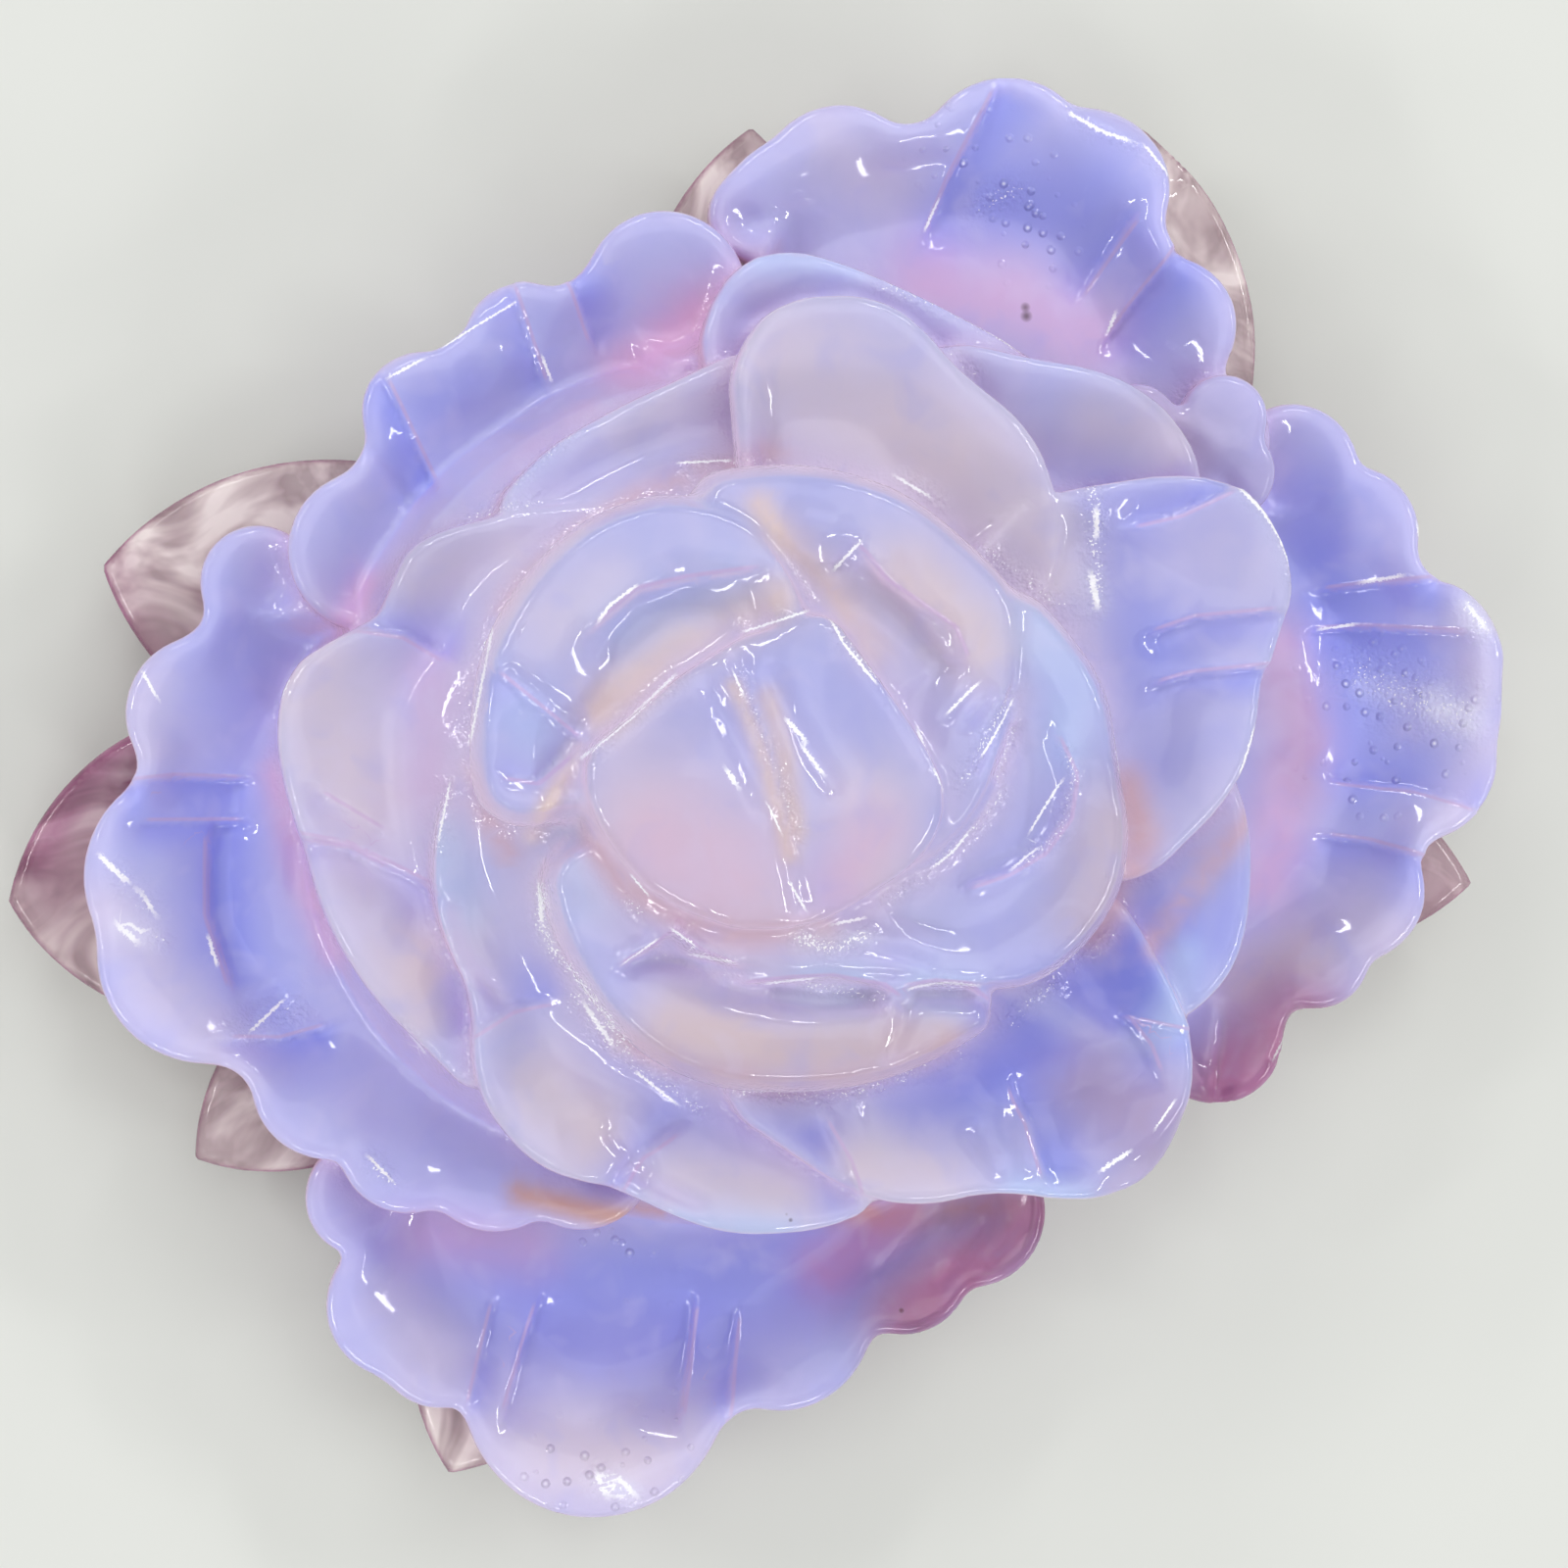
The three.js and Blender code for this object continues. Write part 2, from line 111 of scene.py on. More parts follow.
# %% The petals' lobes
LOW = {"edge": 3.4, "lip": 1.6, "reach": 11, "slope": 0.85, "edge_round": 0.9, "flare": 0, "fillet": 0.5,
       "lobed": True}
MIDDLE = {"edge": 3.2, "lip": 1.4, "reach": 10, "slope": 1.15, "edge_round": 0.8, "flare": 0.4,
          "fillet": 0.9, "lobed": False}
INNER = {"edge": 3.4, "lip": 4, "reach": 8, "slope": 2.2, "edge_round": 0.5, "flare": 1.5, "fillet": 1.8,
         "lobed": False, "paleness": 0.5}
PETALS = {
    "low_south": {**LOW, "rim": 13.5, "dish": 4, "lobes": [
        [228, 46.5, 5, 0], [237, 52, 6.1, -0.5], [242, 53, 5.5, -0.5], [256.5, 52, 11.1, 0],
        [274.5, 45.5, 7.7, 0.5], [289, 43.5, 5.9, -0.5], [298.5, 42, 6.4, -1.5]]},
    "low_east": {**LOW, "rim": 15, "dish": 4.5, "lobes": [
        [332, 46.5, 6, -1.5], [343, 52, 4.5, -0.5], [350, 53.5, 6.5, 0], [361.5, 58.5, 6.8, 0.5],
        [366, 59.6, 6.4, 0.5], [370, 60, 6.8, 0.5], [382, 57, 5.6, 0], [389, 54.5, 5.8, -1]]},
    "low_north": {**LOW, "rim": 16.5, "dish": 4.5, "lobes": [
        [36, 49, 5.1, 0.5], [47, 52.5, 6, 0.5], [59.5, 58, 6.7, 0], [66.5, 56, 7.6, 0],
        [80.5, 50, 7, -0.5], [86, 48.6, 4.6, -0.8], [89, 47, 3.7, -1]]},
    "low_northeast": {**LOW, "rim": 19.5, "dish": 2.5, "lobes": [
        [27, 44, 3.6, -1], [32, 48.3, 3.6, 0], [37, 50.3, 3.6, 0], [42, 44, 3.6, -0.5]]},
    "low_west": {**LOW, "rim": 15.5, "dish": 4, "lobes": [
        [158, 43, 4.7, -1], [173, 44.5, 6.3, 0], [190, 45.5, 9, 0], [198, 46, 9, 0], [216, 42, 6.4, 0.5],
        [227, 40.5, 5.8, 1.5], [236, 37, 6.2, 2.5], [246, 33.5, 6.1, 4]]},
    "low_northwest": {**LOW, "rim": 18, "dish": 4, "lobes": [
        [99.5, 40.5, 6.7, 0.5], [117, 40.5, 4.6, 0], [124, 39, 4.2, 0], [131.5, 40, 4.9, 0],
        [149, 36, 6.5, -0.5]]},
    "second_north": {**MIDDLE, "rim": 22, "dish": 2.4, "lobes": [
        [52, 38, 3, -0.5], [57, 39, 3, 0], [63, 38.7, 3, 0], [70, 39, 3, 0], [76, 39.5, 3, 0],
        [81, 40, 3, 0], [86, 40.5, 3, 0], [89, 40, 3, 0], [93, 38.5, 3, -0.3], [97, 34, 3, -1]]},
    "second_northeast": {**MIDDLE, "rim": 24, "dish": 2.4, "lobes": [
        [24, 40, 3, -0.5], [31, 41, 3, -0.3], [34, 42, 3, 0], [37, 42.5, 3, 0], [39, 43, 3, 0],
        [42, 42.7, 3, 0], [45, 42.4, 3, 0], [50, 41, 3, 0], [57, 38, 3, 0], [63, 37, 3, 0],
        [67, 35.5, 3, 0], [72, 33, 3, -0.5]]},
    "second_northwest": {**MIDDLE, "rim": 24.5, "dish": 2.4, "lobes": [
        [84, 30, 3, -0.5], [90, 32, 3, 0], [97, 30.5, 3, 0], [103, 29.5, 3, 0], [109, 29, 3, 0],
        [115, 28.5, 3, 0], [120, 28.5, 3, 0], [126, 28, 3, 0], [132, 27.5, 3, 0], [137, 27, 3, -0.5]]},
    "second_west": {**MIDDLE, "rim": 25, "dish": 2.4, "lobes": [
        [116, 21.5, 3, 0.5], [124, 23.5, 3, 0.5], [131, 25.5, 3, 0.3], [138, 27.5, 3, 0], [144, 30, 3, 0],
        [149, 30.5, 3, 0], [154, 29.5, 3, 0], [160, 30.5, 3, 0], [162, 33, 3, 0], [166, 35, 3, 0],
        [173, 35.5, 3, 0], [181, 34.5, 3, 0], [187, 33.5, 3, 0], [198, 33, 3, 0], [211, 32, 3, 0],
        [219, 31, 3, -0.5], [231, 31, 3, -1]]},
    "second_east": {**MIDDLE, "rim": 26, "dish": 2, "lobes": [
        [322, 33, 3, 0], [329, 36.5, 3, 0], [333, 38, 3, 0], [336, 39, 3, 0], [341, 39.5, 3, 0],
        [347, 38.7, 3, 0], [354, 38, 3, 0], [360, 36.5, 3, 0], [366, 35, 3, 0]]},
    "third_southwest": {**MIDDLE, "rim": 27, "dish": 2.4, "lobes": [
        [178, 21, 3, 0], [185, 22.5, 3, 0], [193, 23.5, 3, 0], [200, 24.5, 3, 0], [208, 25, 3, 0],
        [217, 25.5, 3, 0], [223, 28, 3, 0], [228, 30.5, 3, 0], [234, 31.5, 3, 0], [240, 32.5, 3, 0],
        [246, 32, 3, 0], [252, 31.5, 3, 0], [259, 32.5, 3, 0], [266, 33.5, 3, 0], [279, 33.5, 3, 0],
        [288, 32.5, 3, -0.5]]},
    "third_southeast": {**MIDDLE, "rim": 28, "dish": 2.4, "lobes": [
        [262, 23, 3, 0], [268, 24.5, 3, 0], [274, 26.5, 3, 0], [279, 29, 3, 0], [284, 31.5, 3, 0],
        [290, 33.5, 3, 0], [296, 34.5, 3, 0], [300, 35, 3, 0], [304, 37.5, 3, 0], [308, 40.5, 3, 0],
        [312, 42, 3, 0], [317, 42.5, 3, 0], [321, 41.5, 3, 0], [327, 39.5, 3, -0.3], [330, 38, 3, -0.5],
        [333, 36, 3, -0.8], [336, 31.5, 3, -1], [343, 29, 3, -1]]},
    "third_east": {**MIDDLE, "rim": 29.5, "dish": 1.8, "lobes": [
        [343, 28.5, 3, 0], [349, 30.5, 3, 0], [354, 33, 3, 0], [359, 35.5, 3, 0], [364, 37, 3, 0],
        [369, 38, 3, 0], [374, 39.5, 3, 0], [376, 41.5, 3, 0], [381, 43.5, 3, 0], [386, 43.5, 3, 0],
        [391, 43, 3, 0], [394, 41.5, 3, 0], [396.5, 38, 3, -0.2], [400, 34, 3, -0.4], [404, 30, 3, -0.6],
        [408, 27, 3, -0.8]]},
    "third_north": {**MIDDLE, "rim": 30.5, "dish": 2.4, "lobes": [
        [30, 24, 3, -2.5], [37, 27.5, 3, -2], [41, 29, 3, -1.6], [47, 31, 3, -1], [52, 32, 3, -0.5],
        [57, 32.5, 3, 0], [63, 32.7, 3, 0], [68, 34, 3, 0], [72, 35.5, 3, 0], [76, 36.2, 3, 0],
        [82, 35.7, 3, 0], [88, 34.7, 3, 0], [92, 32.5, 3, -0.2], [95, 30, 3, -0.6]]},
    "inner_south": {**INNER, "rim": 34, "lip": 5, "reach": 9, "dish": 1.2, "lobes": [
        [196, 15.8, 2.5, 0], [206, 17, 2.5, 0], [215, 17.9, 2.5, 0], [227, 19, 2.5, 0], [238, 20.2, 2.5, 0],
        [248, 21.2, 2.5, 0], [260, 21.9, 2.5, 0], [275, 22.2, 2.5, 0], [290, 22.9, 2.5, 0],
        [305, 23.6, 2.5, 0], [317, 24.4, 2.5, 0]]},
    "inner_east": {**INNER, "rim": 34.8, "dish": 1.6, "lobes": [
        [158, 13, 2.5, 0.2], [170, 12.5, 2.5, 0.4], [182, 12.1, 2.5, 0.6], [196, 12.1, 2.5, 0.6],
        [212, 12.3, 2.5, 0.6], [230, 12.9, 2.5, 0.5], [247, 13.2, 2.5, 0.4], [264, 13, 2.5, 0.4],
        [287, 13.7, 2.5, 0.2], [300, 15.6, 2.5, 0], [308, 17.8, 2.5, 0],
        [314, 20, 2.5, 0], [318, 22.6, 2.5, 0], [324, 24.6, 2.5, 0], [333, 26.2, 2.5, 0],
        [342, 27.1, 2.5, 0], [351, 26.8, 2.5, 0], [361, 25.6, 2.5, 0], [375, 25.4, 2.5, 0],
        [386, 24.2, 2.5, 0], [400, 22.6, 2.5, -0.3]]},
    "inner_northeast": {**INNER, "rim": 35.6, "lip": 5.5, "reach": 10, "dish": 1.6, "lobes": [
        [325, 12, 2.5, 0], [340, 13, 2.5, 0], [351, 14.6, 2.5, 0], [361, 15.7, 2.5, 0], [372, 17, 2.5, 0],
        [382, 18.8, 2.5, 0], [390, 20.6, 2.5, 0], [398, 22, 2.5, 0], [411, 21.9, 2.5, 0],
        [425, 22.3, 2.5, 0], [440, 22.2, 2.5, 0], [455, 21.9, 2.5, -0.4], [467, 21.7, 2.5, -0.8]]},
    "inner_west": {**INNER, "rim": 36.4, "lip": 5, "reach": 10, "dish": 2, "lobes": [
        [73, 11.9, 2.5, 0.3], [81, 12.8, 2.5, 0.3], [87, 14.4, 2.5, 0.2], [92, 17, 2.5, 0],
        [98, 18.7, 2.5, 0], [110, 21, 2.5, 0], [125, 22, 2.5, 0], [140, 22, 2.5, 0], [155, 21.8, 2.5, 0],
        [170, 20.9, 2.5, -0.3], [182, 20.4, 2.5, -0.6], [192, 19, 2.5, -1]]},
}
print(len(PETALS), "petals with", sum(len(petal["lobes"]) for petal in PETALS.values()), "lobes")

# %% [markdown]
# ## Forms as distances
# A carved edge is round, and where two petals meet the wheel leaves a small fillet. Bevelled meshes
# joined by booleans have neither without much repair. So each form is a function that gives how far a
# point is outside it, negative inside, for whole arrays of points. Two forms join by taking the lesser
# distance, with a little rounding, and the surface is drawn where the distance is zero.

# %% Helpers for distances
LOWEST_UNDERCUT = 1
RIM_FOLLOWS_EDGE = 4
EDGE_SPREAD = (-3.5, -1.8, 0, 1.8, 3.5)
LOBE_NOTCH, LOBE_FILLET = 2.6, 1.2
END_ROUND = 3.5
LEAF_FILLET = 0.5


def eased(share):
    """A share from 0 to 1 that starts and ends softly."""
    share = np.clip(share, 0, 1)
    return share * share * (3 - 2 * share)


def joined(first, second, fillet):
    """Two forms as one, with a fillet where they meet."""
    share = np.clip(0.5 + 0.5 * (second - first) / fillet, 0, 1)
    return second + (first - second) * share - fillet * share * (1 - share)


def both(across, along, edge_round):
    """What is inside two forms at once, with the edge between them rounded."""
    corner = np.hypot(np.maximum(across + edge_round, 0), np.maximum(along + edge_round, 0))
    return corner + np.minimum(np.maximum(across, along) + edge_round, 0) - edge_round


def polar(x, y):
    """Bearing in degrees from +X towards +Y, and distance from the flower's axis."""
    return np.degrees(np.arctan2(y, x)), np.hypot(x, y)


def place(bearing, distance):
    """The point at a bearing and a distance from the flower's axis."""
    angle = math.radians(bearing)
    return distance * math.cos(angle), distance * math.sin(angle)


fillet_rise = -joined(0.0, 0.0, LOBE_FILLET)
print("two lobes that touch get a fillet", round(float(fillet_rise), 2), "mm deep")

# %% [markdown]
# ## One petal
# Seen from above, a petal is its lobes joined to a wedge that runs in to the axis. Its top stays level
# over the rounded lip and then falls into a hollow. Its underside slopes in and down, so that the petal
# looks thin at the edge and still stands on the stone below. A solidified sheet would give an even
# thickness, which stone never has.

# %% A petal's outline and its solid
def petal_outline(petal, x, y):
    """A petal seen from above: how far a point is outside its edge, how far it is in from the line through
    the tips of its lobes, and the lift of its rim."""
    bearing, distance = polar(x, y)
    lobes = np.array(petal["lobes"], dtype=float)
    first, last = lobes[0, 0], lobes[-1, 0]
    middle = (first + last) / 2
    bearing = middle + (bearing - middle + 180) % 360 - 180
    spread = [np.clip(bearing + turn, first, last) for turn in EDGE_SPREAD]
    tips = lobes[:, 1] + lobes[:, 2]
    tip = sum(np.interp(along_edge, lobes[:, 0], tips) for along_edge in spread) / len(spread)
    lift = sum(np.interp(along_edge, lobes[:, 0], lobes[:, 3]) for along_edge in spread) / len(spread)
    past_end = np.maximum(bearing - last, first - bearing)
    beside = distance * np.sin(np.radians(np.clip(past_end, -90, 90)))
    if not petal["lobed"]:
        return both(distance - tip, beside, END_ROUND), tip - distance, lift
    outline = np.maximum(distance - tip + LOBE_NOTCH, beside)
    for lobe_bearing, lobe_distance, radius, _ in petal["lobes"]:
        lobe_x, lobe_y = place(lobe_bearing, lobe_distance)
        outline = joined(outline, np.hypot(x - lobe_x, y - lobe_y) - radius, LOBE_FILLET)
    return outline, tip - distance, lift


def petal_form(petal, x, y, z):
    """How far a point is outside a petal."""
    outline, inwards, lift = petal_outline(petal, x, y)
    rim = petal["rim"] + lift
    inwards = -outline + (inwards + outline) * eased(-outline / RIM_FOLLOWS_EDGE)
    share = np.clip((inwards - petal["lip"]) / (petal["reach"] - petal["lip"]), 0, 1)
    top = rim - petal["dish"] * (eased(share) + share) / 2
    underside = np.maximum(rim - petal["edge"] + petal["slope"] * np.minimum(outline, 0), LOWEST_UNDERCUT)
    level = np.maximum(z - top, (underside - z) / math.hypot(1, petal["slope"]))
    side = outline + petal["flare"] * np.clip(1 - (rim - z) / petal["edge"], 0, 1)
    return both(side, level, petal["edge_round"])


print("a petal's underside comes down to", LOWEST_UNDERCUT, "mm over the resting face at most")

# %% [markdown]
# ## Leaves, bud and heart
# The clear pointed leaves under the flower are each the overlap of two discs. The bud is a low dome on a
# drawn outline. The heart is the stone that they all grow from, turned round the axis, with the flat
# face under it that the flower rests on.

# %% The other forms
LEAVES = {
    "leaf_north_northeast": [58, 67, 84, 42, 12.5],
    "leaf_north": [88.5, 56, 88, 36, 9],
    "leaf_northwest": [125, 42, 125, 22, 8],
    "leaf_west_northwest": [161.5, 56, 170, 43, 13],
    "leaf_west": [189.5, 61.5, 189, 38, 13.5],
    "leaf_southwest": [215, 55.5, 214, 30, 8],
    "leaf_south_southwest": [247.5, 63.5, 245, 36, 10],
    "leaf_south": [285, 46, 285, 24, 8],
    "leaf_southeast": [318, 43, 318, 22, 8],
    "leaf_east": [352, 66, 350, 38, 9.5],
    "leaf_northeast": [22, 58, 22, 32, 9],
}
LEAF_UNDERSIDE, LEAF_SHOULDER, LEAF_CROWN, LEAF_EDGE_ROUND = 1.6, 6.2, 0.8, 1.3
LEAF_RISE, LEAF_RISE_FROM, LEAF_RISE_TO = 3.2, 34, 66
BUD_OUTLINE = [[9, 12], [26, 11.1], [55, 11.5], [70, 13], [75.5, 12.9], [102.5, 11], [130.5, 10.5],
               [155, 11.6], [172.5, 14.3], [183, 14.3], [194, 13.8], [205, 13.2], [220, 12.7], [236, 12.1],
               [255, 11.7], [273, 11.4], [289, 11.4], [301, 11.3], [325, 12.3], [338, 13],
               [348.5, 13.2], [358, 12.8]]
BUD_SPREAD = (-3, 0, 3)
BUD_EDGE_HEIGHT, BUD_TOP_HEIGHT, BUD_FOOT_HEIGHT, BUD_EDGE_ROUND, BUD_FILLET = 37.6, 39.8, 30, 0.7, 1.6
DEEP_INSIDE = np.float32(-1e3)
HEART_OUTLINE = [[0, 0], [36, 0], [38.5, 1.5], [40, 6], [36, 14], [33, 19], [26, 25], [13, 33], [0, 35]]


def leaf_form(leaf, x, y, z):
    """How far a point is outside a leaf: tip bearing, tip distance, heading, length, half width."""
    tip_bearing, tip_distance, heading, length, half_width = leaf
    tip_x, tip_y = place(tip_bearing, tip_distance)
    ahead_x, ahead_y = place(heading, 1)
    off_x, off_y = x - tip_x + ahead_x * length / 2, y - tip_y + ahead_y * length / 2
    along = off_x * ahead_x + off_y * ahead_y
    across = np.abs(off_y * ahead_x - off_x * ahead_y)
    arc_radius = (half_width ** 2 + (length / 2) ** 2) / (2 * half_width)
    outline = np.hypot(along, across + arc_radius - half_width) - arc_radius
    rise = LEAF_RISE * eased((np.hypot(x, y) - LEAF_RISE_FROM) / (LEAF_RISE_TO - LEAF_RISE_FROM))
    top = LEAF_SHOULDER + LEAF_CROWN * eased(-outline / half_width) + rise
    level = np.maximum(z - top, LEAF_UNDERSIDE + rise - z)
    return both(outline, level, LEAF_EDGE_ROUND)


def bud_radius(bearing):
    """The bud's outline, straight from one marked bearing to the next."""
    marks = np.array(BUD_OUTLINE + [[BUD_OUTLINE[0][0] + 360, BUD_OUTLINE[0][1]]], dtype=float)
    turned = (bearing - marks[0, 0]) % 360 + marks[0, 0]
    step = np.clip(np.searchsorted(marks[:, 0], turned, side="right") - 1, 0, len(marks) - 2)
    from_radius, to_radius = marks[step, 1], marks[step + 1, 1]
    since = np.radians(turned - marks[step, 0])
    until = np.radians(marks[step + 1, 0] - turned)
    return from_radius * to_radius * np.sin(since + until) / (
        from_radius * np.sin(since) + to_radius * np.sin(until))


def bud_form(x, y, z):
    """How far a point is outside the closed bud."""
    bearing, distance = polar(x, y)
    radius = sum(bud_radius(bearing + turn) for turn in BUD_SPREAD) / len(BUD_SPREAD)
    dome = (BUD_TOP_HEIGHT - BUD_EDGE_HEIGHT) * (1 - (distance / radius) ** 2)
    level = np.maximum(z - BUD_EDGE_HEIGHT - dome, BUD_FOOT_HEIGHT - z)
    return both(distance - radius, level, BUD_EDGE_ROUND)


def heart_form(x, y, z):
    """How far a point is outside the stone in the middle."""
    distance = np.hypot(x, y)
    form = DEEP_INSIDE
    for (near, low), (far, high) in zip(HEART_OUTLINE[1:], HEART_OUTLINE[2:]):
        run = math.hypot(far - near, high - low)
        form = np.maximum(form, ((distance - near) * (high - low) - (z - low) * (far - near)) / run)
    return form


print(len(LEAVES), "leaves, and a bud that is", BUD_TOP_HEIGHT, "mm high")

# %% [markdown]
# ## Cuts, folds and facets
# The carver finished the petals with short strokes of a thin wheel: pairs of fine cuts near the edges,
# one long cut across the bud and small turned folds round it. Some lobes were ground flat on one side,
# which leaves a low step with a fine ridge. They could be bump in the material, but they catch light at
# their ends, so they are cut into the stone. Each is a line through a few pixels of the photograph, at
# the height of the petal that it is on. A stroke is full along its line and fades to both sides. A facet
# is a step, so it fades to one side only.

# %% Strokes cut into the surface
ON_LEAF, ON_LOW, ON_SECOND, ON_THIRD, ON_INNER, ON_BUD = 8, 13, 23, 28, 35, 39
# Depth of the cut and its half width, in millimetres, the height that it is at, and its pixels.
CUTS = [
    (0.5, 0.7, ON_LOW, [(1246, 1119), (1258, 1032)]),
    (0.5, 0.7, ON_LOW, [(1304, 1078), (1322, 1032)]),
    (0.4, 0.7, ON_LOW, [(905, 1300), (960, 1245)]),
    (0.4, 0.7, ON_LOW, [(960, 1310), (1010, 1255)]),
    (0.4, 0.7, ON_LOW, [(1010, 1290), (1040, 1250)]),
    (0.6, 0.7, ON_LOW, [(380, 470), (415, 510)]),
    (0.7, 0.8, ON_LOW, [(259, 1030), (283, 1018)]),
    (0.8, 1.0, ON_LOW, [(1263, 1050), (1243, 1115)]),
    (0.6, 0.9, ON_THIRD, [(628, 1158), (652, 1186), (623, 1216)]),
    (0.6, 0.9, ON_THIRD, [(660, 1192), (640, 1220)]),
    (0.5, 0.9, ON_THIRD, [(1003, 1158), (1020, 1195)]),
    (0.5, 0.9, ON_THIRD, [(1044, 1130), (1050, 1192)]),
    (0.6, 0.8, ON_BUD, [(725, 700), (745, 740), (765, 785), (780, 815)]),
    (0.8, 0.8, ON_BUD, [(755, 672), (772, 715), (788, 765), (798, 815), (803, 870), (818, 925)]),
    (0.7, 0.8, ON_BUD, [(788, 690), (808, 735), (828, 770), (850, 802)]),
    (0.6, 0.5, ON_INNER, [(992, 700), (968, 732)]),
    (0.6, 0.5, ON_INNER, [(1008, 708), (984, 742)]),
    (0.7, 0.5, ON_INNER, [(1032, 708), (1015, 745), (994, 786)]),
    (0.7, 0.5, ON_INNER, [(1040, 742), (1022, 792)]),
    (0.9, 0.7, ON_INNER, [(520, 687), (554, 712), (590, 740)]),
    (0.6, 0.6, ON_INNER, [(520, 797), (545, 798), (578, 775)]),
    (0.9, 0.8, ON_INNER, [(650, 985), (690, 982), (735, 986)]),
    (1.1, 0.9, ON_INNER, [(800, 1023), (845, 1028), (890, 1024)]),
    (1.0, 0.8, ON_INNER, [(945, 1018), (990, 1018)]),
    (0.5, 0.6, ON_INNER, [(933, 1030), (909, 1080)]),
    (0.5, 0.6, ON_INNER, [(870, 962), (950, 984)]),
    (0.6, 0.6, ON_INNER, [(875, 556), (856, 577)]),
]
# Folds stand up instead of being cut in.
FOLDS = [
    (0.5, 0.8, ON_INNER, [(608, 634), (640, 605), (672, 590)]),
    (0.5, 0.8, ON_INNER, [(870, 565), (895, 578), (930, 610), (955, 640), (980, 670)]),
    (0.6, 0.7, ON_INNER, [(1080, 758), (1096, 800), (1088, 845), (1063, 877), (1029, 893), (1000, 905)]),
    (0.7, 0.7, ON_INNER, [(638, 976), (668, 958), (690, 945)]),
    (0.7, 0.7, ON_INNER, [(690, 948), (715, 972), (744, 981)]),
    (0.8, 0.7, ON_INNER, [(768, 1003), (800, 997), (850, 996), (900, 1001), (918, 1012), (912, 1032)]),
    (0.8, 0.7, ON_INNER, [(930, 1006), (955, 1001), (998, 1003), (1015, 1020), (1011, 1046)]),
    (0.6, 1.4, ON_INNER, [(822, 526), (845, 533)]),
    (0.6, 0.6, ON_INNER, [(590, 765), (570, 800), (547, 852)]),
    (0.5, 0.5, ON_BUD, [(600, 768), (645, 730), (692, 690)]),
    (0.4, 0.5, ON_BUD, [(862, 638), (895, 692), (940, 758), (965, 800)]),
]
# Hollows are wide and shallow.
HOLLOWS = [
    (0.6, 2.0, ON_INNER, [(620, 660), (650, 622), (700, 606), (755, 604)]),
    (0.6, 2.0, ON_INNER, [(905, 600), (935, 635), (962, 675)]),
    (0.5, 1.6, ON_INNER, [(545, 745), (560, 765)]),
    (0.5, 3.0, ON_BUD, [(640, 775), (700, 722)]),
]
